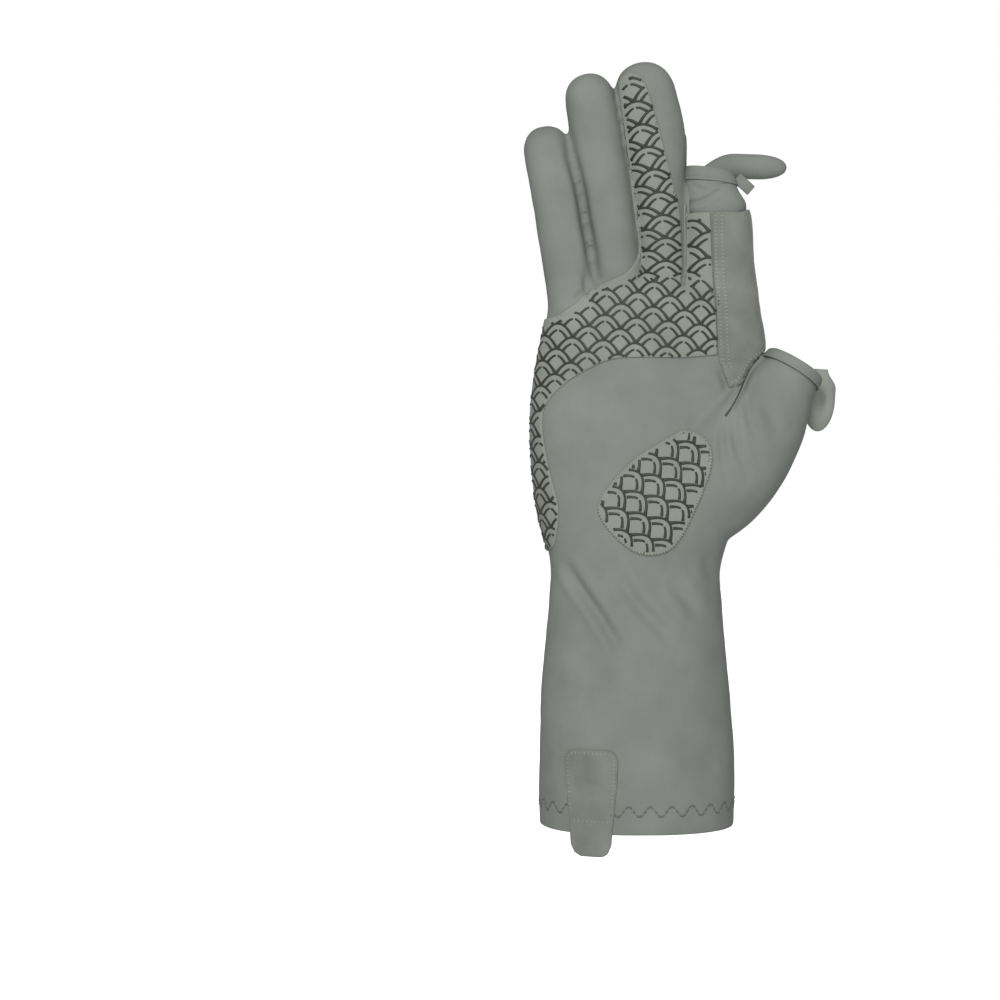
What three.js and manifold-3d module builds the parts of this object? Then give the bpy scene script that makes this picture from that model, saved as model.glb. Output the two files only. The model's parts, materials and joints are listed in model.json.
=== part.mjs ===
// A right-hand fishing glove with a long cuff, in millimetres, filled out as when it is worn.
// Fingers point along +Z, the palm faces -Y and the thumb points towards +X. The origin is the middle of the
// cuff's mouth. The index finger's and the thumb's tips are folded back, so their sleeves end in open hems.
import * as THREE from "three";
import { mergeVertices } from "three/addons/utils/BufferGeometryUtils.js";
import Module from "manifold-3d";

const wasm = await Module();
wasm.setup();

// Driving dimensions
const cuffLength = 97; // hem to the wrist's narrowest place
const cuffWidth = 74;
const cuffDepth = 62;
const palmLength = 110; // wrist to the webs between the fingers
const palmWidth = 88;
const palmDepth = 32;
const wall = 1.2; // the stretch fabric of the two main panels
const overlayWall = 1; // grips, gusset, hems and pull tab
const seamGap = 0.3; // between any two pieces
const fingerCurl = 6; // how far the fingertips lean towards the palm side
const fingerRoot = 12; // how far a finger's tube starts below the webs
const fingerRoundness = 2.15; // 2 is an ellipse, and more is squarer
const trunkRoundness = 2.15;
const thumbRoundness = 2.1;
const littleLength = 71.5;
const littleWidth = 19.4;
const ringLength = 90.8;
const ringWidth = 18.6;
const middleLength = 94.8;
const middleWidth = 22;
const indexLength = 41; // up to the seam where the sleeve comes out
const indexWidth = 27.5;
const fingerDepth = 19;
const sleeveLength = 12.4; // the part of the index sleeve that stands out of the seam
const sleeveTuck = 8; // the part of it inside the index tube
const thumbReach = 64; // root to the open end
const thumbWidth = 21.4;
const thumbDepth = 20.6;
const indexHemHeight = 5;
const thumbHemHeight = 4.2;
const hemProud = 0.6; // how far those two hems stand past the ends that they bind
const cuffHemHeight = 9.5;
const pullTabWidth = 19.5;
const pullTabLength = 39.4;
const pullTabDrop = 8.2; // how far the tab hangs below the hem
const indexCapLength = 32;
const indexCapWidth = 9.6;
const indexCapDepth = 7.8;
const thumbCapLength = 24;
const thumbCapWidth = 15;
const thumbCapDepth = 8;
const indexTabReach = 6.6; // how far the tab stands out of the index hem's side
const indexTabWidth = 4.3;
const indexTabThickness = 1.4;

// Facets
const trunkSides = 32;
const fingerSides = 14;
const thumbSides = 16;
const domeRings = 3;

const webHeight = cuffLength + palmLength;
const rootHeight = webHeight - fingerRoot;
const reach = 150; // past the whole glove, for cutting solids
const overrun = 6; // how far a cutting tube runs past an open end
const overlayOuter = seamGap + overlayWall; // from the panels' outside to an overlay's outside

// Solids from three.js geometry
function solidOf(geometry) {
  const bare = geometry.index ? geometry.toNonIndexed() : geometry.clone();
  const points = new THREE.BufferGeometry().setAttribute("position", bare.getAttribute("position"));
  const merged = mergeVertices(points, 1e-4);
  return new wasm.Manifold(
    new wasm.Mesh({
      numProp: 3,
      vertProperties: merged.attributes.position.array,
      triVerts: new Uint32Array(merged.index.array),
    }),
  );
}

// A closed skin over rings of points, with a flat or pointed cap at each end.
function skin(rings) {
  const sides = rings[0].length;
  const points = rings.flat();
  const faces = [];
  for (let r = 0; r + 1 < rings.length; r++)
    for (let i = 0; i < sides; i++) {
      const j = (i + 1) % sides;
      const [a, b, c, d] = [r * sides + i, r * sides + j, (r + 1) * sides + i, (r + 1) * sides + j];
      faces.push(a, b, d, a, d, c);
    }
  for (const [start, forward] of [[0, false], [(rings.length - 1) * sides, true]]) {
    const centre = new THREE.Vector3();
    for (let i = 0; i < sides; i++) centre.addScaledVector(points[start + i], 1 / sides);
    points.push(centre);
    for (let i = 0; i < sides; i++) {
      const [a, b] = [start + i, start + ((i + 1) % sides)];
      faces.push(...(forward ? [a, b, points.length - 1] : [b, a, points.length - 1]));
    }
  }
  const geometry = new THREE.BufferGeometry().setFromPoints(points);
  geometry.setIndex(faces);
  return solidOf(geometry);
}

// One superellipse ring. Its width runs along across, and its depth, front and back apart, along through.
function ring({ centre, across, through, half, front, back, roundness, sides }) {
  return Array.from({ length: sides }, (_, i) => {
    const turn = (2 * Math.PI * (i + 0.5)) / sides;
    const [c, s] = [Math.cos(turn), Math.sin(turn)];
    const power = 2 / roundness;
    return centre
      .clone()
      .addScaledVector(across, half * Math.sign(c) * Math.abs(c) ** power)
      .addScaledVector(through, (s < 0 ? front : back) * Math.sign(s) * Math.abs(s) ** power);
  });
}

// The trunk is the cuff, wrist and palm in one tube. at is a share of cuffLength or palmLength, left and
// right are shares of cuffWidth or palmWidth, and front and back of cuffDepth or palmDepth.
const cuffRows = [
  { at: 0, left: 0.5, right: 0.495, front: 0.5, back: 0.48 },
  { at: 0.1, left: 0.504, right: 0.5, front: 0.505, back: 0.485 },
  { at: 0.29, left: 0.503, right: 0.499, front: 0.495, back: 0.475 },
  { at: 0.56, left: 0.49, right: 0.47, front: 0.45, back: 0.435 },
  { at: 0.65, left: 0.481, right: 0.46, front: 0.43, back: 0.415 },
  { at: 0.73, left: 0.473, right: 0.452, front: 0.412, back: 0.395 },
  { at: 0.81, left: 0.465, right: 0.443, front: 0.395, back: 0.378 },
  { at: 0.88, left: 0.457, right: 0.436, front: 0.382, back: 0.364 },
  { at: 0.94, left: 0.45, right: 0.43, front: 0.373, back: 0.353 },
  { at: 1, left: 0.448, right: 0.428, front: 0.37, back: 0.345 },
];
const palmRows = [
  { at: 0.1, left: 0.394, right: 0.392, front: 0.73, back: 0.62 },
  { at: 0.2, left: 0.426, right: 0.43, front: 0.72, back: 0.58 },
  { at: 0.3, left: 0.446, right: 0.44, front: 0.68, back: 0.55 },
  { at: 0.42, left: 0.458, right: 0.44, front: 0.61, back: 0.52 },
  { at: 0.555, left: 0.457, right: 0.48, front: 0.54, back: 0.5 },
  { at: 0.66, left: 0.442, right: 0.518, front: 0.49, back: 0.48 },
  { at: 0.775, left: 0.416, right: 0.55, front: 0.45, back: 0.46 },
  { at: 0.886, left: 0.391, right: 0.53, front: 0.385, back: 0.395 },
  { at: 0.96, left: 0.383, right: 0.51, front: 0.315, back: 0.32 },
  { at: 1, left: 0.35, right: 0.475, front: 0.2, back: 0.2 },
];
// Dents in the trunk's palm side: the hollow of the palm, and the folds that run slantwise down the wrist.
// x and width are shares of palmWidth, z and length of palmLength above the wrist, and depth of palmDepth.
const palmDents = [
  { x: -0.04, z: 0.58, width: 0.2, length: 0.26, lean: 0, depth: 0.1 },
  { x: -0.15, z: -0.19, width: 0.045, length: 0.17, lean: 36, depth: 0.032 },
  { x: 0.04, z: -0.145, width: 0.045, length: 0.16, lean: 44, depth: 0.032 },
  { x: 0.2, z: -0.11, width: 0.045, length: 0.11, lean: 40, depth: 0.028 },
  { x: 0.3, z: 0.09, width: 0.05, length: 0.14, lean: 52, depth: 0.03 },
];
function palmDent(x, z) {
  let depth = 0;
  for (const d of palmDents) {
    const turn = THREE.MathUtils.degToRad(d.lean);
    const [dx, dz] = [x - d.x * palmWidth, z - cuffLength - d.z * palmLength];
    const across = (dx * Math.cos(turn) + dz * Math.sin(turn)) / (d.width * palmWidth);
    const along = (dz * Math.cos(turn) - dx * Math.sin(turn)) / (d.length * palmLength);
    depth += d.depth * palmDepth * Math.exp(-(across ** 2) - along ** 2);
  }
  return depth;
}
const trunkRows = [
  ...cuffRows.map((r) => ({
    height: r.at * cuffLength,
    left: r.left * cuffWidth,
    right: r.right * cuffWidth,
    front: r.front * cuffDepth,
    back: r.back * cuffDepth,
  })),
  ...palmRows.map((r) => ({
    height: cuffLength + r.at * palmLength,
    left: r.left * palmWidth,
    right: r.right * palmWidth,
    front: r.front * palmDepth,
    back: r.back * palmDepth,
  })),
];
const xAxis = new THREE.Vector3(1, 0, 0);
const yAxis = new THREE.Vector3(0, 1, 0);
const zAxis = new THREE.Vector3(0, 0, 1);

function trunk(offset, drop = 0) {
  const rows = trunkRows.map((r, i) => {
    const height = r.height + (i === trunkRows.length - 1 ? offset : 0);
    return { ...r, height };
  });
  if (drop) rows.unshift({ ...rows[0], height: -drop });
  return skin(
    rows.map((r) =>
      ring({
        centre: new THREE.Vector3((r.right - r.left) / 2, 0, r.height),
        across: xAxis,
        through: yAxis,
        half: (r.left + r.right) / 2 + offset,
        front: r.front + offset,
        back: r.back + offset,
        roundness: trunkRoundness,
        sides: trunkSides,
      }).map((p) => (p.y < 0 ? p.setY(p.y + palmDent(p.x, p.z) * Math.min(1, (-2 * p.y) / r.front)) : p)),
    ),
  );
}

// The side seam's line: straight up the hand, and leaning with the fingers above the webs.
const longestFinger = middleLength - fingerRoot;
const seamLine = (height) => -fingerCurl * Math.max(0, (height - webHeight) / longestFinger) ** 2;

// The four fingers. root and tip are shares of palmWidth from the middle line, and lift is in millimetres. In
// the rows, at is a share of the finger's length, and width and side, the spine's shift, of its width.
const fingers = {
  little: {
    root: -0.274,
    tip: -0.41,
    length: littleLength,
    width: littleWidth,
    lift: -0.5,
    rows: [
      { at: 0, width: 0.98, side: 0 },
      { at: 0.4, width: 0.99, side: 0.045 },
      { at: 0.72, width: 0.97, side: 0.04 },
      { at: 0.87, width: 0.91, side: 0.01 },
    ],
  },
  ring: {
    root: -0.066,
    tip: -0.222,
    length: ringLength,
    width: ringWidth,
    lift: -2,
    rows: [
      { at: 0, width: 0.96, side: 0 },
      { at: 0.27, width: 0.97, side: 0.06 },
      { at: 0.5, width: 1, side: 0.06 },
      { at: 0.7, width: 1.03, side: 0.01 },
      { at: 0.89, width: 1.01, side: -0.02 },
    ],
  },
  middle: {
    root: 0.11,
    tip: 0.012,
    length: middleLength,
    width: middleWidth,
    lift: 1,
    rows: [
      { at: 0, width: 0.82, side: 0 },
      { at: 0.3, width: 0.83, side: 0.11 },
      { at: 0.52, width: 0.95, side: 0.13 },
      { at: 0.72, width: 1.09, side: 0.12 },
      { at: 0.86, width: 1.08, side: 0.04 },
    ],
  },
  index: {
    root: 0.366,
    tip: 0.355,
    length: indexLength,
    width: indexWidth,
    lift: 0,
    open: true,
    rows: [
      { at: 0, width: 1.03, side: 0 },
      { at: 0.5, width: 0.93, side: -0.02 },
      { at: 0.85, width: 0.885, side: -0.02 },
      { at: 1, width: 0.84, side: -0.03 },
    ],
  },
};

// Where a finger's spine is at a share of its length.
function spinePoint(f, at, side = 0) {
  const lean = (f.tip - f.root) * palmWidth;
  const rise = Math.sqrt(f.length ** 2 - lean ** 2);
  const height = rootHeight + rise * at;
  return new THREE.Vector3(
    f.root * palmWidth + lean * at + side * f.width,
    seamLine(height) + f.lift * Math.min(1, at * 2),
    height,
  );
}

const halfDepth = (row) => (fingerDepth / 2) * Math.min(1, 0.35 + 0.65 * row.width);

function finger(f, offset, past = 0) {
  const stations = f.rows.map((r) => ({
    centre: spinePoint(f, r.at, r.side),
    half: (r.width * f.width) / 2 + offset,
    depth: halfDepth(r) + offset,
  }));
  stations[0].centre.z -= offset;
  const last = stations.at(-1);
  const tip = spinePoint(f, 1);
  if (f.open) {
    if (past) stations.push({ ...last, centre: last.centre.clone().addScaledVector(zAxis, past) });
  } else {
    const along = tip.clone().sub(last.centre);
    const dome = along.length() + offset;
    along.normalize();
    for (let i = 1; i <= domeRings + 1; i++) {
      const turn = (Math.PI / 2) * (i / (domeRings + 1.35));
      const shrink = Math.cos(turn) ** 0.85;
      stations.push({
        centre: last.centre.clone().addScaledVector(along, dome * Math.sin(turn)),
        half: last.half * shrink,
        depth: last.depth * shrink,
      });
    }
  }
  return tube(stations, fingerSides, fingerRoundness);
}

// A tube through stations whose spine lies close to the plane of the palm.
function tube(stations, sides, roundness) {
  return skin(
    stations.map((s, i) => {
      const before = stations[Math.max(0, i - 1)].centre;
      const after = stations[Math.min(stations.length - 1, i + 1)].centre;
      const along = after.clone().sub(before).normalize();
      const across = new THREE.Vector3().crossVectors(yAxis, along).normalize();
      const through = new THREE.Vector3().crossVectors(along, across);
      return ring({
        centre: s.centre,
        across,
        through,
        half: s.half,
        front: s.depth,
        back: s.depth,
        roundness,
        sides,
      });
    }),
  );
}

// The thumb with its ball below it. out, up and forward are shares of thumbReach from its root;
// width and depth are shares of thumbWidth and thumbDepth.
const thumbRootX = 0.16 * palmWidth;
const thumbRootHeight = cuffLength + 0.19 * palmLength;
const thumbRows = [
  { out: 0, up: 0, forward: 0.05, width: 1.8, depth: 1.45 },
  { out: 0.2, up: 0.2, forward: 0.085, width: 2.1, depth: 1.66 },
  { out: 0.375, up: 0.39, forward: 0.095, width: 2, depth: 1.6 },
  { out: 0.525, up: 0.58, forward: 0.085, width: 1.63, depth: 1.38 },
  { out: 0.635, up: 0.755, forward: 0.06, width: 1.22, depth: 1.14 },
  { out: 0.715, up: 0.885, forward: 0.045, width: 1, depth: 1 },
];

function thumbStation(row, offset) {
  return {
    centre: new THREE.Vector3(
      thumbRootX + row.out * thumbReach,
      -row.forward * thumbReach,
      thumbRootHeight + row.up * thumbReach,
    ),
    half: (row.width * thumbWidth) / 2 + offset,
    depth: (row.depth * thumbDepth) / 2 + offset,
  };
}

function thumb(offset, past = 0) {
  const stations = thumbRows.map((r) => thumbStation(r, offset));
  stations[0].centre.z -= offset;
  if (past) {
    const [before, last] = stations.slice(-2);
    const along = last.centre.clone().sub(before.centre).normalize();
    stations.push({ ...last, centre: last.centre.clone().addScaledVector(along, past) });
  }
  return tube(stations, thumbSides, thumbRoundness);
}

const form = (offset, past = 0) =>
  Object.values(fingers)
    .map((f) => finger(f, offset, past))
    .reduce((all, f) => all.add(f), trunk(offset, past))
    .add(thumb(offset, past));

// Cutting solids. A shape drawn in the front view is pushed through towards the palm side or the back.
function frontPrism(shape, from, to) {
  const geometry = new THREE.ExtrudeGeometry(shape, { depth: to - from, bevelEnabled: false });
  geometry.applyMatrix4(new THREE.Matrix4().makeBasis(xAxis, zAxis, yAxis.clone().negate()));
  geometry.translate(0, -from, 0);
  return solidOf(geometry);
}

function halfSpace(side) {
  const steps = 10;
  const heights = Array.from({ length: steps + 1 }, (_, i) => webHeight + (i / steps) * reach);
  const outline = [[side * reach, -reach]];
  for (const height of [-reach, ...heights]) outline.push([seamLine(height) + (side * seamGap) / 2, height]);
  outline.push([side * reach, webHeight + reach]);
  const shape = new THREE.Shape(outline.map(([y, z]) => new THREE.Vector2(y, z)));
  const geometry = new THREE.ExtrudeGeometry(shape, { depth: 2 * reach, bevelEnabled: false });
  geometry.applyMatrix4(new THREE.Matrix4().makeBasis(yAxis, zAxis, xAxis));
  geometry.translate(-reach, 0, 0);
  return solidOf(geometry);
}

// Points drawn as shares of palmWidth from the middle line and of palmLength above the wrist.
const palmPoint = ([x, z]) => new THREE.Vector2(x * palmWidth, cuffLength + z * palmLength);
const smoothPath = (points, steps) => new THREE.SplineCurve(points.map(palmPoint)).getPoints(steps);

const palmSide = halfSpace(-1);
const backSide = halfSpace(1);
const shell = form(0).subtract(form(-wall, overrun));
const overlay = form(overlayOuter).subtract(form(seamGap, overrun));

// Above the webs each finger's panels are solids of their own. A line midway between two fingers parts them up to
// the shorter one's tip.
const fingerCut = webHeight - fingerRoot / 2;
const edgeOf = (f, side) => f.rows.map((r) => spinePoint(f, r.at, r.side + (side * r.width) / 2));
function xAt(edge, height) {
  const next = edge.findIndex((p) => p.z > height);
  const last = Math.max(1, next < 0 ? edge.length - 1 : next);
  const [a, b] = [edge[last - 1], edge[last]];
  return a.x + ((b.x - a.x) * (height - a.z)) / (b.z - a.z);
}
const partingSteps = 3;
function parting(left, right) {
  if (!left || !right) return [[left ? reach : -reach, fingerCut], [left ? reach : -reach, webHeight + reach]];
  const [leftEdge, rightEdge] = [edgeOf(left, 1), edgeOf(right, -1)];
  const tips = [left, right].map((f) => spinePoint(f, 1));
  const tip = tips[0].z < tips[1].z ? tips[0] : tips[1];
  const rise = tip.z + seamGap - fingerCut;
  const heights = Array.from({ length: partingSteps + 1 }, (_, i) => fingerCut + (i / partingSteps) * rise);
  const line = heights.map((z) => [(xAt(leftEdge, z) + xAt(rightEdge, z)) / 2, z]);
  return [...line, [tip.x, tip.z + 2 * seamGap], [tip.x, webHeight + reach]];
}
const inOrder = Object.values(fingers);
const fingerSlices = inOrder.map((f, i) => {
  const left = parting(inOrder[i - 1], f).map(([x, z]) => [x + seamGap / 2, z]);
  const right = parting(f, inOrder[i + 1]).map(([x, z]) => [x - seamGap / 2, z]);
  const outline = [...left, ...right.reverse()].map(([x, z]) => new THREE.Vector2(x, z));
  return frontPrism(new THREE.Shape(outline), -reach, reach);
});
const lowerCorners = [[-reach, -reach], [reach, -reach], [reach, fingerCut - seamGap], [-reach, fingerCut - seamGap]];
const lowerShape = new THREE.Shape(lowerCorners.map(([x, z]) => new THREE.Vector2(x, z)));
const lowerSlice = frontPrism(lowerShape, -reach, reach);

// The printed grip over the upper palm, up the middle and index fingers and down the outer edge
const gripOutline = [
  ...smoothPath([[-0.6, 0.885], [-0.39, 0.88], [-0.27, 0.88], [-0.155, 0.94], [-0.03, 1]], 5),
  palmPoint([0.048, 1.07]),
  ...smoothPath([[0.06, 1.13], [0.05, 1.21], [0.005, 1.36], [-0.055, 1.55], [-0.085, 1.64]], 7),
  ...smoothPath([[-0.075, 1.678], [-0.045, 1.693], [-0.01, 1.678], [0.022, 1.63], [0.1, 1.46]], 7),
  ...smoothPath([[0.135, 1.38], [0.158, 1.2], [0.165, 1.1], [0.176, 0.99]], 4),
  ...smoothPath([[0.194, 0.955], [0.208, 0.99]], 1),
  ...[[0.205, 1.22], [0.294, 1.22], [0.313, 0.9], [0.334, 0.735]].map(palmPoint),
  ...smoothPath([[0.2, 0.724], [-0.08, 0.723], [-0.2, 0.692], [-0.32, 0.635], [-0.4, 0.56]], 7),
  ...smoothPath([[-0.41, 0.49], [-0.4, 0.42], [-0.38, 0.335], [-0.345, 0.22], [-0.35, 0.13]], 6),
  ...smoothPath([[-0.39, 0.06], [-0.6, 0.02]], 1),
];
const gripSlice = frontPrism(new THREE.Shape(gripOutline), -reach, reach);
const palmGrip = overlay.intersect(gripSlice).intersect(palmSide);

// The printed pad on the heel of the palm
const heelPoints = [
  [0.17, 0.475], [0.275, 0.445], [0.3, 0.36], [0.222, 0.19], [0.12, 0.07],
  [-0.03, 0.065], [-0.168, 0.175], [-0.155, 0.265], [0, 0.395],
].map(palmPoint);
const heelCurve = new THREE.CatmullRomCurve3(heelPoints.map((p) => new THREE.Vector3(p.x, p.y, 0)), true);
const heelOutline = heelCurve.getPoints(22).slice(1).map((p) => new THREE.Vector2(p.x, p.y));
const heelSlice = frontPrism(new THREE.Shape(heelOutline), 0, reach);
const heelGrip = overlay.intersect(heelSlice).intersect(palmSide);

// The gusset along the index finger's outer side and through the thumb's fork
const gussetGap = seamGap / palmWidth;
const gussetFront = [
  ...[[0.294 + gussetGap, 1.228], [0.313 + gussetGap, 0.9], [0.334 + gussetGap, 0.73]].map(palmPoint),
  ...smoothPath([[0.352, 0.695], [0.388, 0.64], [0.412, 0.592]], 3),
  ...smoothPath([[0.45, 0.665], [0.5, 0.72], [0.555, 0.755]], 3),
  ...[[0.75, 0.85], [0.75, 1.228]].map(palmPoint),
];
const gussetBack = [
  ...[[0.43, 1.228], [0.425, 1.03], [0.395, 0.9]].map(palmPoint),
  ...smoothPath([[0.37, 0.78], [0.368, 0.69], [0.395, 0.615], [0.455, 0.595], [0.51, 0.63]], 8),
  palmPoint([0.54, 0.69]),
  ...[[0.585, 0.765], [0.75, 0.85], [0.75, 1.228]].map(palmPoint),
];
const gussetSlice = frontPrism(new THREE.Shape(gussetFront), 0, reach).add(
  frontPrism(new THREE.Shape(gussetBack), -reach, 0.01),
);
const indexGusset = overlay.intersect(gussetSlice).subtract(thumb(overlayOuter + seamGap, thumbWidth));

// The index sleeve, which comes out of the seam at the end of the index tube, and its hem
const indexFront = spinePoint(fingers.index, 1);
const sleeveRows = [
  // of sleeveTuck below the seam or sleeveLength above it, and of the index tube's inner width
  { at: -1, width: 1, side: -0.03, depth: 1 },
  { at: 0, width: 1, side: -0.03, depth: 1 },
  { at: 0.5, width: 0.91, side: -0.045, depth: 0.96 },
  { at: 1.15, width: 0.76, side: -0.08, depth: 0.9 },
];
const indexEnd = fingers.index.rows.at(-1).width * indexWidth;
const sleeveWidth = indexEnd - 2 * (wall + seamGap);
const sleeveDepth = 2 * (halfDepth(fingers.index.rows.at(-1)) - wall - 1.5 * seamGap);
const sleeveStations = (offset, from = 0) =>
  sleeveRows.slice(from).map((r) => ({
    centre: new THREE.Vector3(
      indexFront.x + r.side * indexWidth,
      indexFront.y,
      indexFront.z + r.at * (r.at < 0 ? sleeveTuck : sleeveLength),
    ),
    half: (r.width * sleeveWidth) / 2 + offset,
    depth: (r.depth * sleeveDepth) / 2 + offset,
  }));
const stretched = (stations, past) => {
  const first = { ...stations[0], centre: stations[0].centre.clone().addScaledVector(zAxis, -past) };
  const last = { ...stations.at(-1), centre: stations.at(-1).centre.clone().addScaledVector(zAxis, past) };
  return [first, ...stations, last];
};
// Everything above a line that falls towards the thumb: the mouth of the index sleeve is cut along it.
const mouthDrop = 0.13; // fall of the mouth's edge for each millimetre across
function above(height) {
  const top = webHeight + reach;
  const edge = (x) => height - (x - indexFront.x) * mouthDrop;
  const corners = [[-reach, edge(-reach)], [reach, edge(reach)], [reach, top], [-reach, top]];
  return frontPrism(new THREE.Shape(corners.map(([x, z]) => new THREE.Vector2(x, z))), -reach, reach);
}
const mouthHeight = indexFront.z + sleeveLength;
const sleeveTube = (stations) => tube(stations, fingerSides, fingerRoundness);
const indexSleeve = sleeveTube(sleeveStations(0))
  .subtract(sleeveTube(stretched(sleeveStations(-wall), overrun)))
  .subtract(above(mouthHeight));
const indexHem = sleeveTube(stretched(sleeveStations(overlayOuter, 1), overrun))
  .subtract(sleeveTube(stretched(sleeveStations(seamGap, 1), 2 * overrun)))
  .subtract(above(mouthHeight + hemProud))
  .subtract(finger(fingers.middle, seamGap))
  .intersect(above(mouthHeight + hemProud - indexHemHeight));

// The hem round the thumb's mouth
const [thumbBelow, thumbEnd] = thumbRows.slice(-2).map((r) => thumbStation(r, 0));
const thumbAlong = thumbEnd.centre.clone().sub(thumbBelow.centre).normalize();
const thumbSlice = new THREE.BoxGeometry(2 * thumbWidth, 2 * thumbDepth, thumbHemHeight);
const thumbTurn = new THREE.Quaternion().setFromUnitVectors(zAxis, thumbAlong);
const thumbSliceMiddle = thumbEnd.centre.clone().addScaledVector(thumbAlong, hemProud - thumbHemHeight / 2);
thumbSlice.applyQuaternion(thumbTurn).translate(...thumbSliceMiddle);
const thumbHem = thumb(overlayOuter, overrun)
  .subtract(thumb(seamGap, 2 * overrun))
  .subtract(trunk(seamGap))
  .intersect(solidOf(thumbSlice));

// The turned-up hem inside the cuff
const cuffSlice = new THREE.BoxGeometry(2 * cuffWidth, 2 * cuffDepth, cuffHemHeight);
cuffSlice.translate(0, 0, cuffHemHeight / 2);
const cuffHem = trunk(-wall - seamGap, overrun)
  .subtract(trunk(-wall - overlayOuter, 2 * overrun))
  .intersect(solidOf(cuffSlice));

// The pull tab sewn on the cuff's palm side, hanging below the hem
const tabCentre = -0.25 * cuffWidth;
const tabRows = [
  // of pullTabWidth from the tab's middle, and of pullTabLength from its lower end
  [-0.5, 0.93], [-0.42, 0.985], [-0.3, 1], [0.3, 1], [0.43, 0.98], [0.5, 0.91], [0.475, 0.68], [0.4, 0.3],
  [0.37, 0.11], [0.3, 0.03], [0.2, 0], [-0.2, 0], [-0.31, 0.03], [-0.38, 0.1], [-0.42, 0.4], [-0.49, 0.75],
];
const tabShape = new THREE.Shape(
  tabRows.map(([x, z]) => new THREE.Vector2(tabCentre + x * pullTabWidth, z * pullTabLength - pullTabDrop)),
);
const pullTab = trunk(overlayOuter, pullTabDrop + overrun)
  .subtract(trunk(seamGap, pullTabDrop + 2 * overrun))
  .intersect(frontPrism(tabShape, 0, reach));

// A fingertip cap folded back is a flattened pouch, open at its root. Its rows are shares of its own sizes.
const capRows = [
  { at: 0, width: 0.96, depth: 0.92 },
  { at: 0.3, width: 1, depth: 1 },
  { at: 0.62, width: 1, depth: 1 },
  { at: 0.84, width: 0.86, depth: 0.78 },
  { at: 0.95, width: 0.55, depth: 0.48 },
  { at: 1, width: 0.2, depth: 0.18 },
];
const capEnd = 0.4; // least half-width of a cap's rings
function cap({ length, width, depth, root, along, across }) {
  const through = new THREE.Vector3().crossVectors(along, across);
  const layer = (offset, past) =>
    skin(
      capRows.map((r, i) => {
        const halfThrough = Math.max(capEnd, (r.depth * depth) / 2 + offset);
        return ring({
          centre: root.clone().addScaledVector(along, r.at * (length + offset) - (i ? 0 : past)),
          across,
          through,
          half: Math.max(capEnd, (r.width * width) / 2 + offset),
          front: halfThrough,
          back: halfThrough,
          roundness: fingerRoundness,
          sides: fingerSides,
        });
      }),
    );
  return layer(0, 0).subtract(layer(-overlayWall, overrun));
}
const sleeveEnd = sleeveStations(overlayOuter).at(-1);
const indexCapDrop = 0.06; // fall of the cap for each millimetre along it
const indexCap = cap({
  length: indexCapLength,
  width: indexCapWidth,
  depth: indexCapDepth,
  root: new THREE.Vector3(
    sleeveEnd.centre.x - 0.08 * indexCapLength,
    sleeveEnd.centre.y + sleeveEnd.depth + seamGap + 0.34 * indexCapDepth,
    mouthHeight + 0.46 * indexCapWidth,
  ),
  along: new THREE.Vector3(1, 0, -indexCapDrop / 2).normalize(),
  across: new THREE.Vector3(indexCapDrop / 2, 0, 1).normalize(),
});
const thumbAcross = new THREE.Vector3().crossVectors(yAxis, thumbAlong).normalize();
const thumbHemOuter = thumbStation(thumbRows.at(-1), overlayOuter);
const thumbCap = cap({
  length: thumbCapLength,
  width: thumbCapWidth,
  depth: thumbCapDepth,
  root: thumbHemOuter.centre
    .clone()
    .addScaledVector(thumbAcross, 0.76 * thumbHemOuter.half)
    .addScaledVector(thumbAlong, 0.4 * thumbHemOuter.half)
    .setY(thumbHemOuter.centre.y + thumbHemOuter.depth + seamGap + 0.14 * thumbCapDepth),
  along: new THREE.Vector3(-0.02, 0, -1).normalize(),
  across: new THREE.Vector3(1, 0, -0.02).normalize(),
});

// The small tab that stands out of the index hem's side, to hold the cap down when it is folded back
const tabTuck = indexWidth / 4; // the tab's root before the sleeve's own form is cut away from it
const tabAlong = new THREE.Vector3(0.75, 0, -0.66).normalize();
const tabAcross = new THREE.Vector3(0.66, 0, 0.75).normalize();
const tabBox = new THREE.BoxGeometry(indexTabReach + tabTuck, indexTabWidth, indexTabThickness);
const tabMiddle = sleeveEnd.centre
  .clone()
  .addScaledVector(xAxis, sleeveEnd.half)
  .setZ(mouthHeight)
  .addScaledVector(tabAlong, (indexTabReach - tabTuck) / 2);
tabBox.applyMatrix4(new THREE.Matrix4().makeBasis(tabAlong, tabAcross, yAxis.clone().negate()));
tabBox.translate(tabMiddle.x, tabMiddle.y, tabMiddle.z);
const sleeveKeepOut = stretched(sleeveStations(overlayOuter + seamGap), indexTabReach);
const indexTab = solidOf(tabBox).subtract(sleeveTube(sleeveKeepOut));

const colours = {
  fabric: new THREE.MeshStandardMaterial({ color: 0x7e837e, roughness: 0.82, metalness: 0 }),
  grip: new THREE.MeshStandardMaterial({ color: 0x6f746c, roughness: 0.7, metalness: 0 }),
  suede: new THREE.MeshStandardMaterial({ color: 0x8c9188, roughness: 0.95, metalness: 0 }),
};

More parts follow.
